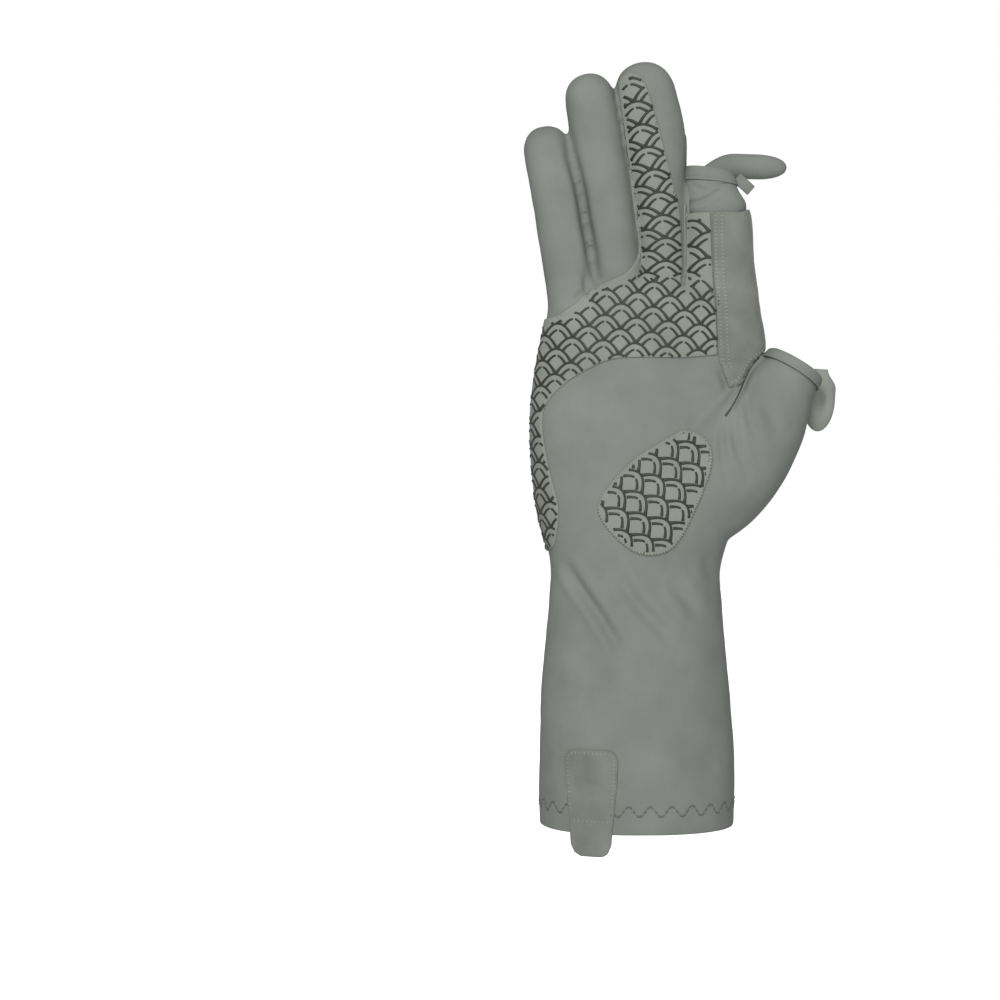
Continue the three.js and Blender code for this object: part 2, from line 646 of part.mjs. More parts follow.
const glove = new THREE.Group();
function addPiece(name, solid, material) {
  const mesh = solid.getMesh();
  const geometry = new THREE.BufferGeometry();
  geometry.setAttribute("position", new THREE.BufferAttribute(new Float32Array(mesh.vertProperties), 3));
  geometry.setIndex(new THREE.BufferAttribute(new Uint32Array(mesh.triVerts), 1));
  geometry.computeVertexNormals();
  const piece = new THREE.Mesh(geometry, material);
  piece.name = name;
  glove.add(piece);
}
for (const [side, half] of [["front", palmSide], ["back", backSide]]) {
  const panel = shell.intersect(half);
  addPiece(side === "front" ? "palm_panel" : "back_panel", panel.intersect(lowerSlice), colours.fabric);
  Object.keys(fingers).forEach((name, i) => {
    addPiece(`${name}_finger_${side}`, panel.intersect(fingerSlices[i]), colours.fabric);
  });
}
addPiece("palm_grip", palmGrip, colours.grip);
addPiece("heel_grip", heelGrip, colours.grip);
addPiece("index_gusset", indexGusset, colours.suede);
addPiece("index_sleeve", indexSleeve, colours.fabric);
addPiece("index_hem", indexHem, colours.fabric);
addPiece("index_cap", indexCap, colours.fabric);
addPiece("index_tab", indexTab, colours.suede);
addPiece("thumb_hem", thumbHem, colours.fabric);
addPiece("thumb_cap", thumbCap, colours.suede);
addPiece("cuff_hem", cuffHem, colours.fabric);
addPiece("pull_tab", pullTab, colours.suede);

export default glove;
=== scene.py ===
# A right-hand fishing glove with a long cuff, filled out as it is worn, palm towards the camera.
# Every length here is in millimetres, and a mesh is brought to metres when it becomes an object.
import json
import math

import bpy
import numpy as np
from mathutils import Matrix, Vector
from mathutils.bvhtree import BVHTree

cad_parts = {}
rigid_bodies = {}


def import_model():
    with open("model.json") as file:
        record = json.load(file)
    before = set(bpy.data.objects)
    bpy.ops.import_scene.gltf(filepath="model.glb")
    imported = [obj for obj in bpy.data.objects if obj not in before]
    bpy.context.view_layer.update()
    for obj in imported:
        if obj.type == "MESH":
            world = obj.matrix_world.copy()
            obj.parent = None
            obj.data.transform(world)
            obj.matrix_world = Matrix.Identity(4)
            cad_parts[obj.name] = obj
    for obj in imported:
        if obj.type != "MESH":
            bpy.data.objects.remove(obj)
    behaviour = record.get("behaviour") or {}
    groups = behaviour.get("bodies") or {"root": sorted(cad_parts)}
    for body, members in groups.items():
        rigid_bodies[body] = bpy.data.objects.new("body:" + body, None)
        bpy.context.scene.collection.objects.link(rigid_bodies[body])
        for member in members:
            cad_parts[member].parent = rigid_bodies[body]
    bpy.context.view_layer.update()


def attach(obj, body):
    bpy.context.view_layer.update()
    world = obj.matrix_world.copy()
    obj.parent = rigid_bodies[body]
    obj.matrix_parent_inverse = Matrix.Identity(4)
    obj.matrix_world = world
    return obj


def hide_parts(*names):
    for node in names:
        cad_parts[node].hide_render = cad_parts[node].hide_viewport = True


for leftover in list(bpy.data.objects):
    bpy.data.objects.remove(leftover)
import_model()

MM = 0.001

# The glove's sizes, as in its construction
CUFF_LENGTH, CUFF_WIDTH, CUFF_DEPTH = 97, 74, 62
PALM_LENGTH, PALM_WIDTH, PALM_DEPTH = 110, 88, 32
FINGER_DEPTH = 19
FINGER_CURL = 6
FINGER_ROOT = 12
THUMB_REACH, THUMB_WIDTH, THUMB_DEPTH = 64, 21.4, 20.6
SLEEVE_TUCK, SLEEVE_LENGTH = 8, 12.4
INDEX_HEM_HEIGHT, THUMB_HEM_HEIGHT, CUFF_HEM_HEIGHT = 5, 4.2, 9.5
HEM_PROUD = 0.6
WALL, OVERLAY_WALL, SEAM_GAP = 1.2, 1.0, 0.3
PULL_TAB_WIDTH, PULL_TAB_LENGTH, PULL_TAB_DROP = 19.5, 39.4, 8.2
INDEX_TAB_REACH, INDEX_TAB_WIDTH, INDEX_TAB_THICKNESS = 6.6, 4.3, 1.4
INDEX_CAP_LENGTH, INDEX_CAP_WIDTH, INDEX_CAP_DEPTH = 32, 9.6, 7.8
THUMB_CAP_LENGTH, THUMB_CAP_WIDTH, THUMB_CAP_DEPTH = 24, 15, 8
ROUNDNESS = 2.15
WEB_HEIGHT = CUFF_LENGTH + PALM_LENGTH
ROOT_HEIGHT = WEB_HEIGHT - FINGER_ROOT

# How the cloth is made here
VOXEL = 1.05
CLOTH = 0.9
CUFF_DROP = 12  # how far the cutting form runs below the hem
OVERRUN = 7  # and past the open ends of the index finger and the thumb

CAMERA_X, CAMERA_HEIGHT, CAMERA_DISTANCE = -52.3, 123.4, 800
FRAME_WIDTH = 382  # what the frame takes in at the distance of the glove's middle
SENSOR = 36

# at, left, right, front, back: shares of the cuff's length, width, width, depth, depth
CUFF_ROWS = (
    (0, 0.5, 0.495, 0.5, 0.48),
    (0.1, 0.504, 0.5, 0.505, 0.485),
    (0.29, 0.503, 0.499, 0.495, 0.475),
    (0.56, 0.49, 0.47, 0.45, 0.435),
    (0.73, 0.473, 0.452, 0.412, 0.395),
    (0.88, 0.457, 0.436, 0.382, 0.364),
    (1, 0.448, 0.428, 0.37, 0.345),
)
# The same shares of the palm's length, width and depth
PALM_ROWS = (
    (0.1, 0.394, 0.392, 0.73, 0.62),
    (0.2, 0.426, 0.43, 0.72, 0.58),
    (0.3, 0.446, 0.44, 0.68, 0.55),
    (0.42, 0.458, 0.44, 0.61, 0.52),
    (0.555, 0.457, 0.48, 0.54, 0.5),
    (0.66, 0.442, 0.518, 0.49, 0.48),
    (0.775, 0.416, 0.55, 0.45, 0.46),
    (0.886, 0.391, 0.53, 0.385, 0.395),
    (0.96, 0.383, 0.51, 0.315, 0.32),
    (1, 0.35, 0.475, 0.2, 0.2),
)
# root, tip: shares of PALM_WIDTH; length, width, lift; rows of at, width, side
FINGERS = {
    "little": (-0.274, -0.41, 71.5, 19.4, -0.5,
               ((0, 0.98, 0), (0.4, 0.99, 0.045), (0.72, 0.97, 0.04), (0.87, 0.91, 0.01))),
    "ring": (-0.066, -0.222, 90.8, 18.6, -2,
             ((0, 0.96, 0), (0.27, 0.97, 0.06), (0.5, 1, 0.06), (0.7, 1.03, 0.01), (0.89, 1.01, -0.02))),
    "middle": (0.11, 0.012, 94.8, 22, 1,
               ((0, 0.82, 0), (0.3, 0.83, 0.11), (0.52, 0.95, 0.13), (0.72, 1.09, 0.12), (0.86, 1.08, 0.04))),
    "index": (0.366, 0.355, 41, 27.5, 0,
              ((0, 1.03, 0), (0.5, 0.93, -0.02), (0.85, 0.885, -0.02), (1, 0.84, -0.03))),
}
# out, up, forward: shares of THUMB_REACH; width, depth: shares of THUMB_WIDTH and THUMB_DEPTH
THUMB_ROWS = (
    (0, 0, 0.05, 1.8, 1.45),
    (0.2, 0.2, 0.085, 2.1, 1.66),
    (0.375, 0.39, 0.095, 2, 1.6),
    (0.525, 0.58, 0.085, 1.63, 1.38),
    (0.635, 0.755, 0.06, 1.22, 1.14),
    (0.715, 0.885, 0.045, 1, 1),
)
THUMB_ROOT = np.array([0.16 * PALM_WIDTH, 0, CUFF_LENGTH + 0.19 * PALM_LENGTH])


# Tables and lofts
def unit(vectors):
    """Vectors brought to a length of 1."""
    return vectors / np.maximum(1e-12, np.linalg.norm(vectors, axis=-1, keepdims=True))


def way_along(path):
    """How far along a broken line each of its points lies."""
    return np.concatenate([[0], np.cumsum(np.linalg.norm(np.diff(path, axis=0), axis=1))])


def at_way(path, way, at):
    """Places on a broken line at distances along it."""
    return np.stack([np.interp(at, way, column) for column in path.T], 1)


def smooth_rows(rows, step):
    """A table's rows carried on at even steps of its first column, by a smooth curve through them."""
    rows = np.array(rows, float)
    at = rows[:, 0]
    slope = np.gradient(rows, at, axis=0)
    count = max(2, int(math.ceil((at[-1] - at[0]) / step)) + 1)
    new_at = np.linspace(at[0], at[-1], count)
    low = np.clip(np.searchsorted(at, new_at, side="right") - 1, 0, len(at) - 2)
    span = (at[low + 1] - at[low])[:, None]
    t = (new_at[:, None] - at[low][:, None]) / span
    start, end = rows[low], rows[low + 1]
    out = (2 * t**3 - 3 * t**2 + 1) * start + (t**3 - 2 * t**2 + t) * span * slope[low]
    out += (3 * t**2 - 2 * t**3) * end + (t**3 - t**2) * span * slope[low + 1]
    return out


def ring(centre, across, through, half, front, back, sides, roundness=ROUNDNESS):
    turn = 2 * np.pi * (np.arange(sides) + 0.5) / sides
    c, s = np.cos(turn), np.sin(turn)
    power = 2 / roundness
    a = half * np.sign(c) * np.abs(c) ** power
    t = np.where(s < 0, front, back) * np.sign(s) * np.abs(s) ** power
    return np.asarray(centre) + np.outer(a, across) + np.outer(t, through)


def bands(count, sides, closed=False):
    """Triangles between each ring and the next, and where closed also between the last and the first."""
    i = np.arange(sides)
    j = (i + 1) % sides
    faces = []
    for r in range(count if closed else count - 1):
        s = (r + 1) % count
        a, b, c, d = r * sides + i, r * sides + j, s * sides + i, s * sides + j
        faces += [np.stack([a, b, d], 1), np.stack([a, d, c], 1)]
    return faces


def loft(rings):
    """Points and triangles of a skin over rings, whose ends are closed by fans."""
    rings = np.array(rings)
    count, sides = rings.shape[:2]
    points = list(rings.reshape(-1, 3))
    faces = bands(count, sides)
    i = np.arange(sides)
    j = (i + 1) % sides
    for start, forward in ((0, False), ((count - 1) * sides, True)):
        points.append(np.mean(points[start:start + sides], axis=0))
        centre = np.full(sides, len(points) - 1)
        pair = (start + i, start + j) if forward else (start + j, start + i)
        faces.append(np.stack([*pair, centre], 1))
    return np.array(points), np.concatenate(faces)


def tube(centres, halves, depths, sides):
    """A skin of rings along a line of centres that lies close to the plane of the palm."""
    centres = np.array(centres)
    before = np.concatenate([centres[:1], centres[:-1]])
    after = np.concatenate([centres[1:], centres[-1:]])
    rings = []
    for centre, way, half, depth in zip(centres, after - before, halves, depths):
        along = unit(way)
        across = unit(np.cross([0, 1, 0], along))
        rings.append(ring(centre, across, np.cross(along, across), half, depth, depth, sides))
    return rings


def seam_line(height):
    """Where the side seams run, front to back: straight up the hand, then leaning with the fingers."""
    longest = FINGERS["middle"][2] - FINGER_ROOT
    return -FINGER_CURL * np.maximum(0, (height - WEB_HEIGHT) / longest) ** 2


TRUNK_TABLE = [(at * CUFF_LENGTH, l * CUFF_WIDTH, r * CUFF_WIDTH, f * CUFF_DEPTH, b * CUFF_DEPTH)
               for at, l, r, f, b in CUFF_ROWS]
TRUNK_TABLE += [(CUFF_LENGTH + at * PALM_LENGTH, l * PALM_WIDTH, r * PALM_WIDTH, f * PALM_DEPTH,
                 b * PALM_DEPTH) for at, l, r, f, b in PALM_ROWS]
TRUNK_ROWS = smooth_rows(TRUNK_TABLE, 1.5)


def trunk_ring(height, offset=0, sides=110):
    """The trunk's outline at a height, moved out by an offset."""
    row = [np.interp(height, TRUNK_ROWS[:, 0], TRUNK_ROWS[:, c]) for c in range(1, 5)]
    left, right, front, back = row
    centre = ((right - left) / 2, 0, height)
    half = (left + right) / 2 + offset
    return ring(centre, (1, 0, 0), (0, 1, 0), half, front + offset, back + offset, sides)


def spine(name, at, side=0.0):
    """Where a finger's middle line is at a share of its length."""
    root, tip, length, width, lift, _ = FINGERS[name]
    lean = (tip - root) * PALM_WIDTH
    height = ROOT_HEIGHT + math.sqrt(length**2 - lean**2) * at
    return np.array([
        root * PALM_WIDTH + lean * at + side * width,
        seam_line(height) + lift * min(1, at * 2),
        height,
    ])


def half_depth(width_share):
    return FINGER_DEPTH / 2 * min(1, 0.35 + 0.65 * width_share)


def finger_rings(name, sides=52):
    _, _, length, width, _, rows = FINGERS[name]
    table = smooth_rows(rows, 1.6 / length)
    centres = [spine(name, at, side) for at, _, side in table]
    halves = [share * width / 2 for _, share, _ in table]
    depths = [half_depth(share) for _, share, _ in table]
    if name == "index":
        centres.append(centres[-1] + [0, 0, OVERRUN])
        halves.append(halves[-1])
        depths.append(depths[-1])
        return tube(centres, halves, depths, sides)
    way = spine(name, 1) - centres[-1]
    dome_steps = 14
    for i in range(1, dome_steps + 1):
        turn = math.pi / 2 * i / (dome_steps + 0.25)
        shrink = math.cos(turn) ** 0.85
        centres.append(centres[len(table) - 1] + way * math.sin(turn))
        halves.append(halves[len(table) - 1] * shrink)
        depths.append(depths[len(table) - 1] * shrink)
    return tube(centres, halves, depths, sides)


def thumb_table():
    """Smooth stations of the thumb: way along, centre, half width, half depth."""
    rows = np.array(THUMB_ROWS, float)
    centres = THUMB_ROOT + np.stack([rows[:, 0], -rows[:, 2], rows[:, 1]], 1) * THUMB_REACH
    along = way_along(centres)
    table = np.column_stack([along, centres, rows[:, 3] * THUMB_WIDTH / 2, rows[:, 4] * THUMB_DEPTH / 2])
    return smooth_rows(table, 1.5)


THUMB = thumb_table()
THUMB_END = THUMB[-1, 1:4]
THUMB_ALONG = unit(THUMB[-1, 1:4] - THUMB[-2, 1:4])
THUMB_ACROSS = unit(np.cross([0, 1, 0], THUMB_ALONG))
THUMB_THROUGH = np.cross(THUMB_ALONG, THUMB_ACROSS)


# Meshes as arrays. A sheet is its points, whose further columns are fields over it, and its triangles.
def normals_of(points, faces):
    a, b, c = (points[faces[:, k], :3] for k in range(3))
    face = np.cross(b - a, c - a)
    out = np.zeros((len(points), 3))
    for k in range(3):
        for axis in range(3):
            out[:, axis] += np.bincount(faces[:, k], face[:, axis], len(points))
    return unit(out)


def compact(points, faces):
    used = np.unique(faces)
    place = np.zeros(len(points), int)
    place[used] = np.arange(len(used))
    return points[used], place[faces]


def score(points, faces, column, level=0.0):
    """Splits a sheet's triangles along the line where a field has a level, and drops nothing."""
    value = points[:, column] - level
    value = np.where(np.abs(value) < 1e-6, 1e-6, value)
    above = value > 0
    count = above[faces].sum(1)
    crossed = (count > 0) & (count < 3)
    mixed = faces[crossed]
    odd = np.where((count[crossed] == 1)[:, None], above[mixed], ~above[mixed])
    mixed = np.take_along_axis(mixed, (odd.argmax(1)[:, None] + np.arange(3)) % 3, 1)
    a, b, c = mixed.T
    ends = np.sort(np.concatenate([np.stack([a, b], 1), np.stack([a, c], 1)]), axis=1)
    keys, where = np.unique(ends[:, 0] * len(points) + ends[:, 1], return_inverse=True)
    low, high = keys // len(points), keys % len(points)
    share = (value[low] / (value[low] - value[high]))[:, None]
    made = points[low] * (1 - share) + points[high] * share
    made[:, column] = level
    ab, ac = len(points) + where[:len(a)], len(points) + where[len(a):]
    pieces = [faces[~crossed], np.stack([a, ab, ac], 1), np.stack([ab, b, c], 1), np.stack([ab, c, ac], 1)]
    return np.concatenate([points, made]), np.concatenate(pieces)


def clip(points, faces, column, level=0.0):
    """The part of a sheet where a field is above a level, cut cleanly along that line."""
    points, faces = score(points, faces, column, level)
    return compact(points, faces[points[faces, column].mean(1) > level + 1e-9])


def shell(points, faces, normals, top, bottom):
    """A closed wall between two offsets from an open sheet."""
    outer = points[:, :3] + normals * np.reshape(top, (-1, 1))
    inner = points[:, :3] + normals * np.reshape(bottom, (-1, 1))
    n = len(points)
    edges = np.concatenate([faces[:, [0, 1]], faces[:, [1, 2]], faces[:, [2, 0]]])
    forward = edges[:, 0] * n + edges[:, 1]
    rim = edges[~np.isin(forward, edges[:, 1] * n + edges[:, 0])]
    a, b = rim.T
    sides = np.concatenate([np.stack([b, a, a + n], 1), np.stack([b, a + n, b + n], 1)])
    return np.concatenate([outer, inner]), np.concatenate([faces, faces[:, ::-1] + n, sides])


def rounded(distance, radius):
    """Rises from 0 at an edge to 1 at a radius from it, as a quarter circle."""
    t = np.clip(distance / radius, 0, 1)
    return np.sqrt(np.clip(1 - (1 - t) ** 2, 0, 1))


def rise(value, start, end):
    t = np.clip((value - start) / (end - start), 0, 1)
    return t * t * (3 - 2 * t)


def joined(parts):
    """Several meshes as one."""
    start = np.cumsum([0] + [len(points) for points, _ in parts])
    points = np.concatenate([points for points, _ in parts])
    return points, np.concatenate([faces + s for (_, faces), s in zip(parts, start)])


def new_object(name, data):
    """An object in the scene for a mesh, a lamp or a camera."""
    made = bpy.data.objects.new(name, data)
    bpy.context.scene.collection.objects.link(made)
    return made


def make_object(name, points, faces, material, smooth=True):
    mesh = bpy.data.meshes.new(name)
    mesh.vertices.add(len(points))
    mesh.vertices.foreach_set("co", (points[:, :3] * MM).astype(np.float32).ravel())
    corners = faces.shape[1]
    mesh.loops.add(faces.size)
    mesh.loops.foreach_set("vertex_index", faces.astype(np.int32).ravel())
    mesh.polygons.add(len(faces))
    mesh.polygons.foreach_set("loop_start", np.arange(0, faces.size, corners, dtype=np.int32))
    mesh.polygons.foreach_set("use_smooth", np.full(len(faces), smooth))
    mesh.update(calc_edges=True)
    mesh.validate()
    if material:
        mesh.materials.append(material)
    return new_object(name, mesh)


def mesh_arrays(mesh):
    """A mesh's points in millimetres and its triangles."""
    points = np.zeros(len(mesh.vertices) * 3, np.float32)
    mesh.vertices.foreach_get("co", points)
    mesh.calc_loop_triangles()
    faces = np.zeros(len(mesh.loop_triangles) * 3, np.int32)
    mesh.loop_triangles.foreach_get("vertices", faces)
    return points.reshape(-1, 3).astype(float) / MM, faces.reshape(-1, 3).astype(int)


def evaluated(obj):
    """The arrays of an object with its modifiers, after which the object is removed."""
    graph = bpy.context.evaluated_depsgraph_get()
    mesh = bpy.data.meshes.new_from_object(obj.evaluated_get(graph))
    points, faces = mesh_arrays(mesh)
    old = obj.data
    bpy.data.objects.remove(obj)
    bpy.data.meshes.remove(old)
    bpy.data.meshes.remove(mesh)
    return points, faces


# The form that the cloth takes: trunk, fingers and thumb grown together, with soft webs between them
def worn_form():
    heights = [-CUFF_DROP, -CUFF_DROP / 2, *TRUNK_ROWS[:, 0]]
    parts = [loft([trunk_ring(height) for height in heights])]
    parts += [loft(finger_rings(name)) for name in FINGERS]
    past = THUMB_END + THUMB_ALONG * OVERRUN
    stations = np.concatenate([THUMB, [[0, *past, *THUMB[-1, 4:]]]])
    parts.append(loft(tube(stations[:, 1:4], stations[:, 4], stations[:, 5], 60)))
    form = make_object("form", *joined(parts), None)
    remesh = form.modifiers.new("remesh", "REMESH")
    remesh.mode = "VOXEL"
    remesh.voxel_size = VOXEL * MM
    smooth = form.modifiers.new("smooth", "SMOOTH")
    smooth.factor = 0.5
    smooth.iterations = 10
    return evaluated(form)


# Fields over the body. Each is a column that later cuts read.
def path_distance(points, path):
    """Distance of points in a plane from a broken line, and the nearest place's share of the way along it."""
    path = np.array(path, float)
    lengths = np.linalg.norm(np.diff(path, axis=0), axis=1)
    best = np.full(len(points), 1e9)
    along = np.zeros(len(points))
    done = 0
    for start, end, length in zip(path[:-1], path[1:], lengths):
        t = np.clip((points - start) @ (end - start) / length**2, 0, 1)
        distance = np.linalg.norm(points - start - t[:, None] * (end - start), axis=1)
        nearer = distance < best
        along = np.where(nearer, done + t * length, along)
        best = np.where(nearer, distance, best)
        done += length
    return best, along / done


def inside_distance(points, outline):
    """Distance inside a closed outline in a plane; below zero outside it."""
    outline = np.array(outline)
    closed = np.concatenate([outline, outline[:1]])
    distance, _ = path_distance(points, closed)
    (x, z), crossings = points.T, np.zeros(len(points), bool)
    for (x0, z0), (x1, z1) in zip(closed[:-1], closed[1:]):
        if z0 == z1:
            continue
        spans = (z > z0) != (z > z1)
        crossings ^= spans & (x < (x1 - x0) * (z - z0) / (z1 - z0) + x0)
    return np.where(crossings, distance, -distance)


PATH_STEPS = 6  # of a curve, from each of its points to the next


def smooth_path(points):
    """A curve through points."""
    points = np.array(points, float)
    at = np.arange(len(points))
    table = smooth_rows(np.column_stack([at, points]), 1 / PATH_STEPS)
    return table[:, 1:]


def palm_place(points):
    """Places drawn as shares of PALM_WIDTH from the middle line and of PALM_LENGTH above the wrist."""
    return np.array(points, float) * [PALM_WIDTH, PALM_LENGTH] + [0, CUFF_LENGTH]


def drawn(*stretches):
    """An outline of smooth stretches joined at corners."""
    return np.concatenate([smooth_path(palm_place(s)) if len(s) > 2 else palm_place(s) for s in stretches])


GRIP_OUTLINE = drawn(
    [(-0.6, 0.87), (-0.39, 0.868), (-0.3, 0.899), (-0.236, 0.938), (-0.182, 0.972), (-0.116, 0.997),
     (-0.061, 1.017), (-0.014, 1.06), (0.002, 1.12), (-0.024, 1.276), (-0.058, 1.502), (-0.083, 1.64)],
    [(-0.085, 1.68), (-0.055, 1.7), (-0.015, 1.7), (0.028, 1.66), (0.065, 1.572), (0.091, 1.501),
     (0.147, 1.335), (0.175, 1.247), (0.184, 1.158), (0.189, 1.04), (0.184, 0.985)],
    [(0.194, 0.962), (0.201, 0.99)],
    [(0.198, 1.26), (0.309, 1.26)],
    [(0.318, 1.03), (0.327, 0.93), (0.334, 0.735)],
    [(0.2, 0.724), (-0.08, 0.723), (-0.2, 0.692), (-0.32, 0.635), (-0.4, 0.56), (-0.41, 0.49),
     (-0.4, 0.42), (-0.38, 0.335), (-0.345, 0.22), (-0.35, 0.13), (-0.39, 0.06), (-0.6, 0.02)],
)
HEEL_POINTS = [(0.17, 0.475), (0.275, 0.445), (0.3, 0.36), (0.222, 0.19), (0.12, 0.07),
               (-0.03, 0.065), (-0.168, 0.175), (-0.155, 0.265), (0, 0.395)]
HEEL_CURVE = smooth_path(palm_place(HEEL_POINTS[-2:] + HEEL_POINTS + HEEL_POINTS[:2]))
HEEL_OUTLINE = HEEL_CURVE[2 * PATH_STEPS:-2 * PATH_STEPS]
GUSSET_GAP = SEAM_GAP / PALM_WIDTH
GUSSET_EDGE = [(0.31, 1.26), (0.318, 1.03), (0.327, 0.93), (0.334, 0.735), (0.352, 0.69), (0.383, 0.622)]
GUSSET_FORK = [(0.41, 0.625), (0.443, 0.638), (0.469, 0.673), (0.49, 0.703), (0.52, 0.724), (0.559, 0.741)]
GUSSET_FRONT = drawn([(x + GUSSET_GAP, z) for x, z in GUSSET_EDGE], GUSSET_FORK, [(0.75, 0.85), (0.75, 1.26)])
GUSSET_BACK = drawn(
    [(0.43, 1.26), (0.425, 1.03)],
    [(0.395, 0.9), (0.37, 0.78), (0.368, 0.69), (0.395, 0.615), (0.455, 0.595), (0.51, 0.63),
     (0.54, 0.69), (0.585, 0.765)],
    [(0.75, 0.85), (0.75, 1.26)],
)
TAB_CENTRE = -0.25 * CUFF_WIDTH
TAB_SHARES = [(-0.5, 0.93), (-0.42, 0.985), (-0.3, 1), (0.3, 1), (0.43, 0.98), (0.5, 0.91), (0.475, 0.68),
              (0.42, 0.4), (0.4, 0.3), (0.37, 0.11), (0.3, 0.03), (0.2, 0), (-0.2, 0), (-0.31, 0.03),
              (-0.38, 0.1), (-0.42, 0.4), (-0.49, 0.75)]
TAB_OUTLINE = np.array(TAB_SHARES) * [PULL_TAB_WIDTH, PULL_TAB_LENGTH] + [TAB_CENTRE, -PULL_TAB_DROP]

THUMB_SEAM = [(46, 177.5), (43.1, 174.3), (41.2, 171), (37.5, 163.6), (34.6, 158.6), (31.8, 154.7)]
LITTLE_GROOVE = [(-27, 260.8), (-25.4, 253), (-22.2, 241.3), (-20.2, 229.6), (-18.2, 219.2), (-16.8, 209)]

# Folds of the cloth: side (-1 palm, 1 back), half width, depth, and the valley's line in the front view
FOLDS = (
    (-1, 2, 1.9, [(-29, 101), (-22, 90), (-14.5, 79), (-6.5, 65.5)]),
    (-1, 2.4, 1.4, [(-10, 99), (-3, 87), (7, 76), (13, 70)]),
    (-1, 2.6, 1.3, [(10, 95), (16, 88), (22, 80)]),
    (-1, 2.6, 0.7, [(24, 104), (27, 96), (29, 90)]),
    (-1, 3, 0.5, [(-20, 62), (-12, 54), (-5, 49)]),
    (-1, 1.4, 0.9, [(32.8, 157), (30.6, 149), (30.4, 140), (32.3, 130)]),
    (-1, 1.6, 1, [(36.4, 160), (34.6, 152), (35.4, 145), (38, 138), (41, 131)]),
    (-1, 1.5, 0.8, [(40, 166), (40.2, 158), (41.5, 151), (44, 145)]),
    (-1, 1.4, 0.8, [(29.8, 173), (32.4, 168.5), (33.6, 164)]),
    (-1, 1.1, 1, THUMB_SEAM),
    (-1, 2.2, 0.6, [(47, 160), (49, 153), (52, 148)]),
    (-1, 1.2, 1, [(-17.5, 199), (-19.5, 203), (-20.2, 209)]),
    (-1, 1.9, 1.5, LITTLE_GROOVE),
    (1, 1.9, 1.5, LITTLE_GROOVE),
    (-1, 1, 0.6, [(-24, 199.5), (-20.5, 202)]),
    (-1, 1, 0.5, [(-15.5, 196), (-18.5, 200.5)]),
    (1, 3.4, 1, [(30, 128), (22, 120), (12, 110), (4, 100)]),
    (1, 3, 0.8, [(36, 137), (30, 126), (24, 116)]),
    (1, 2.4, 0.8, [(40, 150), (38, 142), (34, 134)]),
    (1, 3, 0.7, [(-26, 104), (-16, 96), (-4, 90)]),
    (1, 1.2, 0.8, [(-20, 210), (-19, 203), (-17, 196)]),
    (1, 1.2, 0.8, [(1.5, 212), (1.5, 204), (1, 197)]),
    (1, 1.2, 0.8, [(19, 212), (19, 203), (19.5, 196)]),
)
# The same for the index sleeve
SLEEVE_FOLDS = (
    (-1, 0.9, 0.7, [(17, 240), (19, 236.6), (25, 237), (33.5, 242.5)]),
    (-1, 0.6, 0.6, [(28, 242.2), (31, 242.8), (34, 243.6)]),
    (-1, 0.8, 0.4, [(20, 243.5), (24, 241), (29, 240.5)]),
    (1, 1, 0.6, [(18, 238), (25, 240.5), (33, 238)]),
)


def fold_depths(points, normals, folds=FOLDS):
    """How far folds move a surface along its normals: a valley with a soft ridge on either side."""
    front = points[:, [0, 2]]
    out = np.zeros(len(points))
    for side, half, depth, path in folds:
        distance, along = path_distance(front, smooth_path(path))
        fade = np.sin(np.pi * np.clip(along, 0.02, 0.98)) ** 0.7
        facing = rise(side * normals[:, 1], 0.1, 0.6)
        d = distance / half
        shape = -np.exp(-d**2) + 0.45 * np.exp(-((d - 1.9) ** 2) * 1.2)
        out += depth * fade * facing * shape
    return out


def waves(points, pitch, seed):
    """A soft, uneven swell over a surface, from -1 to 1 or so."""
    turn = np.random.default_rng(seed)
    out = np.zeros(len(points))
    ways = 9
    for _ in range(ways):
        way = turn.normal(size=3)
        way /= np.linalg.norm(way)
        size = pitch * turn.uniform(0.7, 1.6)
        out += np.sin(2 * np.pi * (points @ way) / size + turn.uniform(0, 2 * np.pi))
    return out / math.sqrt(ways)


def thumb_coordinates(points):
    """How far each point lies past the thumb's open end, outside its tube, and from its last axis."""
    centres = THUMB[:, 1:4]
    nearest = np.zeros(len(points), int)
    best = np.full(len(points), 1e9)
    for i, centre in enumerate(centres):
        distance = np.linalg.norm(points - centre, axis=1)
        nearest = np.where(distance < best, i, nearest)
        best = np.minimum(best, distance)
    offset = points - centres[nearest]
    way = unit(np.gradient(centres, axis=0))
    across = unit(np.cross([0, 1, 0], way))
    through = np.cross(way, across)
    half, depth = THUMB[nearest, 4], THUMB[nearest, 5]
    a = np.abs(np.einsum("ij,ij->i", offset, across[nearest])) / half
    t = np.abs(np.einsum("ij,ij->i", offset, through[nearest])) / depth
    outside = ((a**ROUNDNESS + t**ROUNDNESS) ** (1 / ROUNDNESS) - 1) * (half + depth) / 2
    past = (points - THUMB_END) @ THUMB_ALONG
    from_axis = np.linalg.norm((points - THUMB_END) - past[:, None] * THUMB_ALONG, axis=1)
    return past, outside, from_axis


INDEX_END = spine("index", 1)
INDEX_RADIUS = 12.9
MIDDLE_FINGER_SIDE = 19.6  # the opening leaves what is left of this
# The seam round the index sleeve: how far below the finger's end, and its rise across the gusset
MOUTH_DEPTH, MOUTH_STEP, MOUTH_RISES = 3.6, 2.4, (38, 44)
MOUTH_NARROWS, MOUTH_TAPER = 0.03, 5  # the share it narrows by, and over what height
THUMB_RADIUS = 15
FORK_HEIGHT = 175  # below it the gusset lies over the thumb's root; above it stays off the thumb
OFF_THUMB, WELL_INSIDE = 1.9, 9
BASE, SEAM, OPEN, GRIP, HEEL, GUSSET, TAB = range(3, 10)


